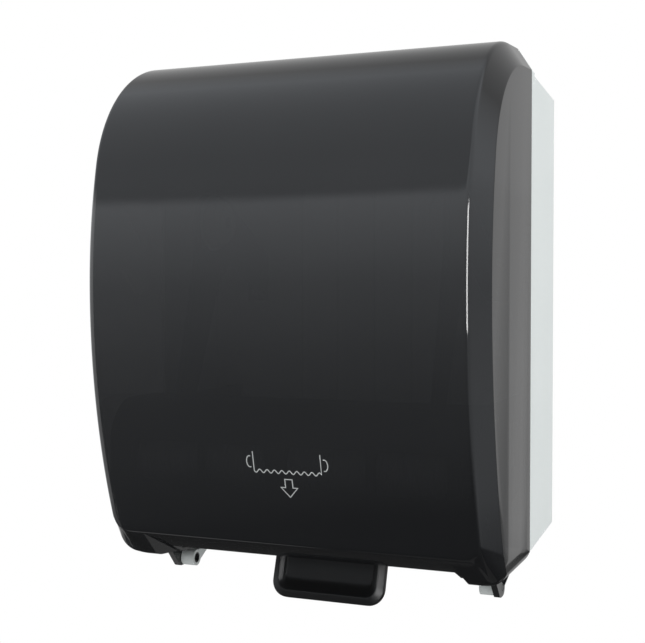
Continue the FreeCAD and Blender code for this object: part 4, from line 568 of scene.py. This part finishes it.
FLAT_SIDE = 0.999
for polygon in cover.data.polygons:
    polygon.use_smooth = abs(polygon.normal.x) < FLAT_SIDE
cover.data.set_sharp_from_angle(angle=math.radians(24.0))
cover.data.materials.clear()
cover.data.materials.append(smoke)
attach(cover, "cover")
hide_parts("cover_shell")


# ---- Pull symbol
# A generic sign printed in white on the lower front: a towel sheet with a torn edge and an arrow down.
# It is a thin film of ink on the cover.

def front_of_chin(z):
    """Where the cover's lower front stands, as Y."""
    return CHIN_CENTRE[0] - math.sqrt(CHIN_RADIUS * CHIN_RADIUS - (z - BELLY) ** 2)


INK_UNDER, INK_TOP, INK_WIDTH = 0.02, 0.10, 0.75


def ink_line(film, points, closed=False):
    """Lays one printed line on the cover along points (x, z)."""
    count = len(points)
    rings = []
    for index, (x, z) in enumerate(points):
        here = Vector((x, z))
        back = Vector(points[index - 1] if closed or index else points[0])
        on = Vector(points[(index + 1) % count] if closed or index < count - 1 else points[-1])
        arrive = (here - back).normalized() if (here - back).length else (on - here).normalized()
        leave = (on - here).normalized() if (on - here).length else arrive
        across = Vector((-(arrive + leave).y, (arrive + leave).x)).normalized()
        reach = INK_WIDTH / 2 / max(0.5, across.dot(Vector((-leave.y, leave.x))))
        ring = []
        for side, lift in ((-1, INK_UNDER), (1, INK_UNDER), (1, INK_TOP), (-1, INK_TOP)):
            spot = here + across * side * reach
            ring.append(film.verts.new(Vector((spot.x, front_of_chin(spot.y) - lift, spot.y)) * MM))
        rings.append(ring)
    pairs = list(zip(rings, rings[1:])) + ([(rings[-1], rings[0])] if closed else [])
    for first, second in pairs:
        for index in range(4):
            after = (index + 1) % 4
            film.faces.new((first[index], first[after], second[after], second[index]))
    if not closed:
        film.faces.new(rings[0])
        film.faces.new(list(reversed(rings[-1])))


film = bmesh.new()
SHEET_LEFT, SHEET_RIGHT, SHEET_TOP, TORN_EDGE = -18.0, 37.0, -104.0, -119.0
WAVES, WAVE_STEPS, WAVE_HEIGHT = 9, 8, 1.3
torn = []
for step in range(WAVES * WAVE_STEPS + 1):
    share = step / (WAVES * WAVE_STEPS)
    wave = WAVE_HEIGHT * math.sin(share * WAVES * 2 * math.pi)
    torn.append((SHEET_LEFT + (SHEET_RIGHT - SHEET_LEFT) * share, TORN_EDGE - wave))
outline = [(SHEET_LEFT, SHEET_TOP)] + torn + [(SHEET_RIGHT, SHEET_TOP)]
ink_line(film, outline)
middle = (SHEET_LEFT + SHEET_RIGHT) / 2
arrow = [(-3.0, -124.5), (3.0, -124.5), (3.0, -131.0), (6.8, -131.0), (0.0, -138.5), (-6.8, -131.0),
         (-3.0, -131.0)]
ink_line(film, [(middle + x, z) for x, z in arrow], closed=True)
GRIP_OUT, GRIP_WIDE, GRIP_MIDDLE, GRIP_HIGH, GRIP_ARC = 3.0, 2.6, -112.0, 4.4, 1.9
for side in (-1, 1):
    edge = SHEET_RIGHT if side > 0 else SHEET_LEFT
    grip = [(edge + side * (GRIP_OUT + GRIP_WIDE * math.cos(turn)), GRIP_MIDDLE + GRIP_HIGH * math.sin(turn))
            for turn in np.linspace(-GRIP_ARC, GRIP_ARC, 15)]
    ink_line(film, grip)
bmesh.ops.recalc_face_normals(film, faces=film.faces)
symbol = as_object("pull_symbol", film)
ink, shader = finish_material("symbol_ink")
wear = noise(900.0, 3.0)
feed(shader, Base_Color=mixed(wear, (0.50, 0.52, 0.52, 1.0), (0.62, 0.64, 0.64, 1.0)),
     Roughness=0.45 + 0.1 * wear)
symbol.data.materials.append(ink)
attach(symbol, "cover")


# ---- Hinge pins
# Short tubes rolled from spring steel strip, with chamfered ends, coloured near black as painted shade for
# the dark bores they sit in. They are pressed into the cover's arms and turn in the housing's barrels.

def metal(name, dark, light, rough, stretch, scale=900.0):
    """Bare metal with fine drawing or grinding lines along one direction."""
    made, shader = finish_material(name)
    lines = noise(scale, 3.0, stretch)
    cloud = noise(40.0, 3.0)
    feed(shader, Base_Color=mixed(lines, dark, light), Metallic=1.0,
         Roughness=rough + 0.14 * lines + 0.06 * cloud, Normal=bumped(lines, 0.00001))
    return made


TURN_STEPS = 48


def turned(name, profile):
    """A closed solid turned about X from points (x, radius) in millimetres."""
    work = bmesh.new()
    rings = []
    for segment in range(TURN_STEPS):
        turn = 2 * math.pi * segment / TURN_STEPS
        corners = [Vector((x, radius * math.cos(turn), radius * math.sin(turn))) for x, radius in profile]
        rings.append([work.verts.new(corner * MM) for corner in corners])
    for index in range(TURN_STEPS):
        first, second = rings[index], rings[(index + 1) % TURN_STEPS]
        for step in range(len(profile)):
            after = (step + 1) % len(profile)
            work.faces.new((first[step], first[after], second[after], second[step]))
    bmesh.ops.recalc_face_normals(work, faces=work.faces)
    return as_object(name, work)


def smoothed(piece, degrees):
    """Shades a piece smooth, with creases where its faces meet at more than an angle."""
    for polygon in piece.data.polygons:
        polygon.use_smooth = True
    piece.data.set_sharp_from_angle(angle=math.radians(degrees))


# Painted shade: the pins are near black so that the barrels' bores read dark
bore_shade_steel = metal("bore_shade_steel", (0.016, 0.016, 0.017, 1.0), (0.036, 0.036, 0.038, 1.0), 0.34,
                    (0.05, 1.0, 1.0))
PIN_START, PIN_END, PIN_RADIUS = 133.5, 146.0, 3.5
PIN_BORE, PIN_SHOULDER, PIN_LEAD = PIN_RADIUS - 1.3, PIN_RADIUS - 0.5, 0.6
for name, side in (("left", -1), ("right", 1)):
    pin_wall = [(PIN_START, PIN_BORE), (PIN_START, PIN_SHOULDER), (PIN_START + PIN_LEAD, PIN_RADIUS),
                (PIN_END - PIN_LEAD, PIN_RADIUS), (PIN_END, PIN_SHOULDER), (PIN_END, PIN_BORE)]
    pin = turned(f"rolled_pin_{name}", [(side * x, radius) for x, radius in pin_wall])
    pin.data.transform(Matrix.Translation(Vector((0.0, *HINGE)) * MM))
    smoothed(pin, 30.0)
    pin.data.materials.append(bore_shade_steel)
    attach(pin, "cover")
    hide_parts(f"{name}_hinge_pin")


# ---- Back housing
# The pale grey tray that is screwed to the wall, moulded in ABS with a fine texture, with its rim, inner
# lip and hinge barrels. The barrels' bores are painted near black, as painted shade inside the holes.

def dress(material, *names):
    """Gives carried-over nodes a finish."""
    for name in names:
        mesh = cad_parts[name].data
        mesh.materials.clear()
        mesh.materials.append(material)


housing_grey, shader = finish_material("housing_grey")
cloud = noise(14.0, 4.0)
fine = noise(1400.0, 2.0)
place = Field(Field.node("ShaderNodeTexCoord").outputs["Object"])
along_axes = Field.node("ShaderNodeSeparateXYZ", None, Vector=place)
forward = Field(along_axes.outputs["Y"]) - HINGE[0] * MM
above = Field(along_axes.outputs["Z"]) - HINGE[1] * MM
from_hinge = Field.math("SQRT", forward * forward + above * above)
# Painted shade: the housing is painted near black within this distance of the hinge axis, which darkens the
# barrels' bores
BORE_SHADE_RADIUS, BORE_SHADE_FADE = 0.0042, 0.0006
bore_shade = 1.0 - ((from_hinge - BORE_SHADE_RADIUS) / BORE_SHADE_FADE).clamped()
plain = mixed(cloud, (0.685, 0.730, 0.725, 1.0), (0.735, 0.775, 0.770, 1.0))
feed(shader, Base_Color=mixed(bore_shade, plain, (0.02, 0.02, 0.021, 1.0)),
     Roughness=0.42 + 0.10 * cloud + 0.06 * fine, Normal=bumped(fine, 0.00002), IOR=1.47)
dress(housing_grey, "back_housing")


# ---- Side frames and roll arms
# Plates moulded in dark grey glass-filled nylon and screwed to the housing's back, which carry the rollers
# and the roll. The feed roller's core is of the same nylon, and the paper chute of a lighter one.

def satin_plastic(name, dark, light, rough, grain, depth=0.00002, index=1.47):
    """Moulded plastic with a fine spark-eroded texture, a little uneven in tone and gloss."""
    made, shader = finish_material(name)
    cloud = noise(14.0, 4.0)
    fine = noise(grain, 2.0)
    feed(shader, Base_Color=mixed(cloud, dark, light), Roughness=rough + 0.10 * cloud + 0.06 * fine,
         Normal=bumped(fine, depth), IOR=index)
    return made


frame_grey = satin_plastic("frame_grey", (0.040, 0.043, 0.047, 1.0), (0.062, 0.065, 0.070, 1.0), 0.48, 700.0)
dress(frame_grey, "left_side_frame", "right_side_frame", "left_roll_arm", "right_roll_arm",
      "feed_roller_core")
chute_grey = satin_plastic("chute_grey", (0.075, 0.080, 0.086, 1.0), (0.100, 0.105, 0.110, 1.0), 0.40, 900.0)
dress(chute_grey, "paper_chute")


# ---- Roller shroud
# The black cover over the rollers, moulded in satin ABS and screwed to the side frames, open to the front
# in four windows and a slot. The loading wheel in that slot is of the same ABS.

shroud_black = satin_plastic("shroud_black", (0.012, 0.0125, 0.0135, 1.0), (0.020, 0.0205, 0.022, 1.0), 0.34,
                             1100.0)
dress(shroud_black, "roller_shroud", "loading_wheel")


# ---- Bushes, gears and core hubs
# Moulded in natural white acetal, slippery, slightly translucent and a little yellow. The bushes sit in the
# side frames, the gears on their shafts and the hubs on the roll arms' stubs.

acetal, shader = finish_material("white_acetal")
cloud = noise(20.0, 3.0)
feed(shader, Base_Color=mixed(cloud, (0.66, 0.655, 0.62, 1.0), (0.74, 0.735, 0.70, 1.0)),
     Roughness=0.30 + 0.12 * cloud, Normal=bumped(noise(1800.0, 1.0), 0.00001), Subsurface_Weight=0.06,
     Subsurface_Scale=0.003)
dress(acetal, "feed_bushes", "lever_bushes", "pinch_bushes", "drive_pinion", "lever_sector_gear",
      "left_core_hub", "right_core_hub")


# ---- Feed and pinch rollers
# Grey grip rubber sleeves, pushed on the plastic core and on the pinch shaft. Each feed sleeve is moulded
# with a row of round-crested rings, which the trees below repeat along it.

def tree_of(name):
    """A node tree for a modifier, ready for named inputs."""
    tree = bpy.data.node_groups.new(name, "GeometryNodeTree")
    tree.interface.new_socket("Geometry", in_out="INPUT", socket_type="NodeSocketGeometry")
    tree.interface.new_socket("Geometry", in_out="OUTPUT", socket_type="NodeSocketGeometry")
    return tree


def named_input(tree, name, kind):
    """Adds an input for one size and returns its identifier."""
    return tree.interface.new_socket(name, in_out="INPUT", socket_type=kind).identifier


def grown(piece, tree, sizes):
    """Runs a tree on a piece with its sizes, and keeps the result as plain mesh."""
    maker = piece.modifiers.new("maker", "NODES")
    maker.node_group = tree
    for identifier, value in sizes.items():
        maker[identifier] = value
    flatten(piece)


ring_tree = tree_of("ringed_sleeve")
RING_SIZES = {label: named_input(ring_tree, label, kind) for label, kind in (
    ("Length", "NodeSocketFloat"), ("Radius", "NodeSocketFloat"), ("Bore", "NodeSocketFloat"),
    ("Groove", "NodeSocketFloat"), ("Rings", "NodeSocketFloat"), ("Finish", "NodeSocketMaterial"))}
Field.tree = ring_tree
sleeve_in = Field.node("NodeGroupInput")
size_of = {label: Field(sleeve_in.outputs[label]) for label in RING_SIZES}
sheet = Field.node("GeometryNodeMeshGrid", None, Size_X=1.0, Size_Y=1.0, Vertices_X=181, Vertices_Y=49)
place = Field.node("GeometryNodeInputPosition")
flat = Field.node("ShaderNodeSeparateXYZ", None, Vector=Field(place.outputs[0]))
along = Field(flat.outputs["X"]) + 0.5
around = Field(flat.outputs["Y"]) * (2.0 * math.pi)
end_step = (0.5 - Field.math("ABSOLUTE", Field(flat.outputs["X"]))) * size_of["Length"]
END_WIDTH, END_DROP, CREST_POWER, AT_END = 0.0012, 0.0006, 0.45, 0.00001
shoulder = Field.math("MINIMUM", end_step / END_WIDTH, 1.0)
crest = Field.math("ABSOLUTE", Field.math("SINE", along * size_of["Rings"] * math.pi))
depth = (1.0 - Field.math("POWER", crest, CREST_POWER)) * size_of["Groove"] + (1.0 - shoulder) * END_DROP
inside = Field.math("LESS_THAN", end_step, AT_END)
radius = size_of["Radius"] - depth
radius = radius + (size_of["Bore"] - radius) * inside
spot = Field.node("ShaderNodeCombineXYZ", None, X=Field(flat.outputs["X"]) * size_of["Length"],
                  Y=radius * Field.math("COSINE", around), Z=radius * Field.math("SINE", around))
bent = Field.node("GeometryNodeSetPosition", None, Geometry=Field(sheet.outputs["Mesh"]),
                  Position=Field(spot.outputs[0]))
closed = Field.node("GeometryNodeMergeByDistance", None, Geometry=Field(bent.outputs[0]), Distance=0.00002)
painted = Field.node("GeometryNodeSetMaterial", None, Geometry=Field(closed.outputs[0]),
                     Material=size_of["Finish"])
real = Field.node("GeometryNodeRealizeInstances", None, Geometry=Field(painted.outputs[0]))
Field.node("NodeGroupOutput", None, Geometry=Field(real.outputs[0]))

rubber, shader = finish_material("grip_rubber")
bloom = noise(120.0, 4.0)
fine = noise(2600.0, 2.0)
feed(shader, Base_Color=mixed(bloom, (0.52, 0.54, 0.59, 1.0), (0.62, 0.64, 0.69, 1.0)),
     Roughness=0.62 + 0.2 * bloom, Normal=bumped(fine, 0.00003), IOR=1.5)


def bored(piece, spot):
    """Closes a sleeve's bore between its ends and moves it to its axis."""
    work = bmesh.new()
    work.from_mesh(piece.data)
    ends = []
    for side in (-1, 1):
        ends.append([edge for edge in work.edges if edge.is_boundary and edge.verts[0].co.x * side > 0])
    bmesh.ops.bridge_loops(work, edges=ends[0] + ends[1])
    bmesh.ops.recalc_face_normals(work, faces=work.faces)
    for face in work.faces:
        face.smooth = True
    work.to_mesh(piece.data)
    work.free()
    piece.data.transform(Matrix.Translation(spot))
    piece.data.set_sharp_from_angle(angle=math.radians(50.0))


FEED_AXIS = Vector((0.0, -0.182, -0.118))
SLEEVE = {"Radius": 0.020, "Bore": 0.0151, "Groove": 0.0011, "Finish": rubber}
RING_PITCH = 0.0042
for name in ("outer_left", "inner_left", "inner_right", "outer_right"):
    low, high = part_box(f"feed_sleeve_{name}")
    length = high.x - low.x
    sleeve = as_object(f"feed_sleeve_ringed_{name}", bmesh.new())
    sizes = SLEEVE | {"Length": length, "Rings": float(round(length / RING_PITCH))}
    grown(sleeve, ring_tree, {RING_SIZES[label]: value for label, value in sizes.items()})
    bored(sleeve, Vector(((low.x + high.x) / 2, FEED_AXIS.y, FEED_AXIS.z)))
    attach(sleeve, "feed_roller")
    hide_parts(f"feed_sleeve_{name}")
    dress(rubber, f"pinch_sleeve_{name}")
ground_steel = metal("ground_steel", (0.42, 0.43, 0.44, 1.0), (0.60, 0.61, 0.62, 1.0), 0.20, (0.05, 1.0, 1.0))
dress(ground_steel, "feed_shaft", "pinch_shaft", "lever_axle")


# ---- Spring and clips
# A torsion spring coiled from hard-drawn wire round the lever's axle, and spring clips stamped from strip
# that hold the feed shaft and the axle. They are oiled, and darker than the shafts.

spring_wire = metal("spring_wire", (0.24, 0.24, 0.25, 1.0), (0.38, 0.38, 0.39, 1.0), 0.26, (1.0, 1.0, 1.0),
                    1500.0)
dress(spring_wire, "lever_return_spring", "feed_shaft_clip", "lever_axle_clip")


# ---- Tear bar, lock cam and strike
# Stamped from cold-rolled stainless strip, with the rolling lines along the bar, which is screwed on. The
# cam hooks behind the strike when the lock's cylinder, in bright plating, is turned.

rolled_steel = metal("rolled_steel", (0.50, 0.51, 0.52, 1.0), (0.66, 0.67, 0.68, 1.0), 0.24, (0.04, 1.0, 1.0))
dress(rolled_steel, "tear_bar", "lock_cam", "lock_strike")
bright_plate = metal("bright_plate", (0.62, 0.62, 0.64, 1.0), (0.72, 0.72, 0.74, 1.0), 0.10, (1.0, 1.0, 1.0),
                     300.0)
dress(bright_plate, "lock_cylinder")


# ---- Push lever
# A black satin paddle moulded as a shallow tray with a round raised rim, on a web and a boss that the axle
# goes through. People push it with the hand or the elbow.

LEVER_AXIS = Vector((-0.0017, -0.086, -0.146))
LEVER_TILT = 18.8
LEVER_TURN = Matrix.Translation(LEVER_AXIS) @ Matrix.Rotation(math.radians(-LEVER_TILT), 4, "X")
PADDLE_HALF, PADDLE_LOW, PADDLE_HIGH, PADDLE_FRONT = 50.0, -100.2, -44.2, -0.8
PADDLE_CORNER, LEAST_CORNER, CORNER_LOSS, CORNER_STEPS = 14.0, 2.5, 0.85, 12
# The rim's section from the back edge over the crown into the recess: inset from the outline, depth behind
# the front, and how much further in it lies along the lower edge, where the recess runs out in a slope
RIM = [(0.6, 9.0, 0.0), (0.0, 8.2, 0.0), (0.0, 3.9, 0.0), (0.35, 3.15, 0.0), (1.1, 2.6, 0.0),
       (4.6, 0.62, 0.0), (5.2, 0.32, 0.0), (5.8, 0.15, 0.0), (6.4, 0.3, 0.0), (6.9, 0.6, 0.0),
       (9.0, 1.9, 0.6), (9.7, 2.5, 1.2), (10.2, 3.6, 3.0), (10.7, 4.3, 4.4), (11.8, 4.6, 5.6)]


def paddle_loop(inset, depth, along_low):
    """One loop round the paddle, a rectangle with round corners."""
    half, low, high = PADDLE_HALF - inset, PADDLE_LOW + inset + along_low, PADDLE_HIGH - inset
    radius = max(LEAST_CORNER, PADDLE_CORNER - inset * CORNER_LOSS)
    loop = []
    for x, z, first in ((half, high, 0.0), (-half, high, 90.0), (-half, low, 180.0), (half, low, 270.0)):
        upper = -1.0 if first < 180.0 else 1.0
        for step in range(CORNER_STEPS + 1):
            turn = math.radians(first + 90.0 * step / CORNER_STEPS)
            spot = Vector((x - math.copysign(radius, x), PADDLE_FRONT + depth, z + upper * radius))
            loop.append((spot + radius * Vector((math.cos(turn), 0.0, math.sin(turn)))) * MM)
    return loop


paddle = bmesh.new()
rings = [[paddle.verts.new(spot) for spot in paddle_loop(*section)] for section in RIM]
for outer, inner in zip(rings, rings[1:]):
    for index in range(len(outer)):
        after = (index + 1) % len(outer)
        paddle.faces.new((outer[index], outer[after], inner[after], inner[index]))
paddle.faces.new(rings[-1])
paddle.faces.new(list(reversed(rings[0])))
bmesh.ops.recalc_face_normals(paddle, faces=paddle.faces)
lever = as_object("push_paddle", paddle)
web = [(-34.0, -48.0), (34.0, -48.0), (34.0, -6.0), (28.0, 0.0), (-28.0, 0.0), (-34.0, -6.0)]
WEB_DEPTH = (3.2, 8.1)
carve(lever, prism("lever_web", web, WEB_DEPTH, "y"), "UNION")
boss = [(-38.0, 3.9), (-38.0, 7.2), (-37.2, 8.0), (37.2, 8.0), (38.0, 7.2), (38.0, 3.9)]
carve(lever, turned("lever_boss", boss), "UNION")
AXLE_BORE, BORE_REACH = 4.0, (-40.0, 40.0)
turns = np.linspace(0, 2 * math.pi, 48, False)
bore = [(AXLE_BORE * math.cos(turn), AXLE_BORE * math.sin(turn)) for turn in turns]
carve(lever, prism("lever_bore", bore, BORE_REACH))
smoothed(lever, 28.0)
lever.data.transform(LEVER_TURN)
lever_black = satin_plastic("lever_black", (0.008, 0.0082, 0.0085, 1.0), (0.0115, 0.0118, 0.0122, 1.0), 0.30,
                            1500.0, 0.000008, 1.34)
lever.data.materials.clear()
lever.data.materials.append(lever_black)
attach(lever, "lever")
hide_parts("push_lever")


# ---- Assembly screws
# Zinc-plated pan head screws with a cross recess, driven into the plastic: four for the side frames, four
# for the roll arms, four for the shroud and three for the tear bar.

screw_tree = tree_of("pan_head_screws")
SCREW_SIZES = {label: named_input(screw_tree, label, kind) for label, kind in (
    ("Head radius", "NodeSocketFloat"), ("Head height", "NodeSocketFloat"),
    ("Shank radius", "NodeSocketFloat"), ("Shank length", "NodeSocketFloat"),
    ("Turn", "NodeSocketVector"), ("Finish", "NodeSocketMaterial"))}
Field.tree = screw_tree
screw_in = Field.node("NodeGroupInput")
size_of = {label: Field(screw_in.outputs[label]) for label in SCREW_SIZES}


def vector(x=0.0, y=0.0, z=0.0):
    """Three numbers or fields as one vector."""
    return Field(Field.node("ShaderNodeCombineXYZ", None, X=x, Y=y, Z=z).outputs[0])


def moved(geometry, **inputs):
    """Places geometry inside a tree."""
    return Field(Field.node("GeometryNodeTransform", None, Geometry=geometry, **inputs).outputs[0])


def joined(*pieces):
    """Puts geometry together inside a tree."""
    made = Field.node("GeometryNodeJoinGeometry")
    for piece in pieces:
        Field.tree.links.new(piece.socket, made.inputs[0])
    return Field(made.outputs[0])


ball = Field(Field.node("GeometryNodeMeshUVSphere", None, Segments=32, Rings=20, Radius=1.0).outputs["Mesh"])
place = Field(Field.node("GeometryNodeInputPosition").outputs[0])
along_axes = Field.node("ShaderNodeSeparateXYZ", None, Vector=place)
upper = Field.math("MAXIMUM", Field(along_axes.outputs["Z"]), 0.0)
HEAD_DOME = 0.8
raised = Field.math("POWER", upper, HEAD_DOME) * size_of["Head height"]
wide = Field(along_axes.outputs["X"]) * size_of["Head radius"]
spot = vector(wide, Field(along_axes.outputs["Y"]) * size_of["Head radius"], raised)
head = Field(Field.node("GeometryNodeSetPosition", None, Geometry=ball, Position=spot).outputs[0])
CROSS_LENGTH, CROSS_WIDTH, CROSS_DEPTH = 1.15, 0.26, 1.1
long_arm = size_of["Head radius"] * CROSS_LENGTH
thin_arm = size_of["Head radius"] * CROSS_WIDTH
deep = size_of["Head height"] * CROSS_DEPTH
blades = [Field(Field.node("GeometryNodeMeshCube", None, Size=size).outputs["Mesh"])
          for size in (vector(long_arm, thin_arm, deep), vector(thin_arm, long_arm, deep))]
blades = [moved(blade, Translation=vector(z=size_of["Head height"])) for blade in blades]
for blade in blades:
    less = Field.node("GeometryNodeMeshBoolean", {"operation": "DIFFERENCE"}, _0=head, _1=blade)
    head = Field(less.outputs[0])
shank = Field(Field.node("GeometryNodeMeshCylinder", None, Vertices=24, Radius=size_of["Shank radius"],
                         Depth=size_of["Shank length"]).outputs["Mesh"])
shank = moved(shank, Translation=vector(z=size_of["Shank length"] * -0.5))
facing = Field(Field.node("FunctionNodeEulerToRotation", None, Euler=size_of["Turn"]).outputs[0])
screw = moved(joined(head, shank), Rotation=facing)
placed = Field.node("GeometryNodeInstanceOnPoints", None, Points=Field(screw_in.outputs["Geometry"]),
                    Instance=screw)
real = Field.node("GeometryNodeRealizeInstances", None, Geometry=Field(placed.outputs[0]))
painted = Field.node("GeometryNodeSetMaterial", None, Geometry=Field(real.outputs[0]),
                     Material=size_of["Finish"])
Field.node("NodeGroupOutput", None, Geometry=Field(painted.outputs[0]))

zinc = metal("zinc_plate", (0.50, 0.52, 0.55, 1.0), (0.66, 0.67, 0.68, 1.0), 0.28, (1.0, 1.0, 1.0), 500.0)
HEAD_RADIUS, SHANK_RADIUS, SCREW_CREASE = 0.0038, 0.0018, 35.0


def screws(name, spots, turn, head_height, shank_length):
    """One mesh of like screws; each stands on its seat, its head's height in metres."""
    work = bmesh.new()
    for spot in spots:
        work.verts.new(Vector(spot) * MM)
    made = as_object(name, work)
    sizes = {"Head radius": HEAD_RADIUS, "Head height": head_height, "Shank radius": SHANK_RADIUS,
             "Shank length": shank_length, "Turn": turn, "Finish": zinc}
    grown(made, screw_tree, {SCREW_SIZES[label]: value for label, value in sizes.items()})
    smoothed(made, SCREW_CREASE)
    return made


FORWARD = (math.pi / 2, 0.0, 0.0)
spots = [(x, -7.0, z) for x in (-146.0, 146.0) for z in (-89.8, -134.0)]
made = screws("frame_screws_zinc", spots, FORWARD, 0.0024, 0.0064)
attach(made, "housing")
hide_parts("frame_screws")
spots = [(x, -7.0, z) for x in (-118.5, 118.5) for z in (16.0, 42.0)]
made = screws("roll_arm_screws_zinc", spots, FORWARD, 0.0024, 0.0064)
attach(made, "housing")
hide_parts("roll_arm_screws")
spots = [(x, -156.0, -180.0) for x in (-100.0, 0.0, 100.0)]
made = screws("tear_bar_screws_zinc", spots, FORWARD, 0.0016, 0.003)
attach(made, "housing")
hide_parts("tear_bar_screws")
ends = []
for side in (-1, 1):
    spots = [(side * 152.0, -154.0, -79.5), (side * 152.0, -180.0, -152.0)]
    outward = (0.0, side * math.pi / 2, 0.0)
    ends.append(screws(f"shroud_screws_zinc_{side}", spots, outward, 0.0024, 0.017))
work = bmesh.new()
for end in ends:
    work.from_mesh(end.data)
    bpy.data.objects.remove(end)
made = as_object("shroud_screws_zinc", work)
smoothed(made, SCREW_CREASE)
made.data.materials.append(zinc)
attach(made, "housing")
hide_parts("shroud_screws")
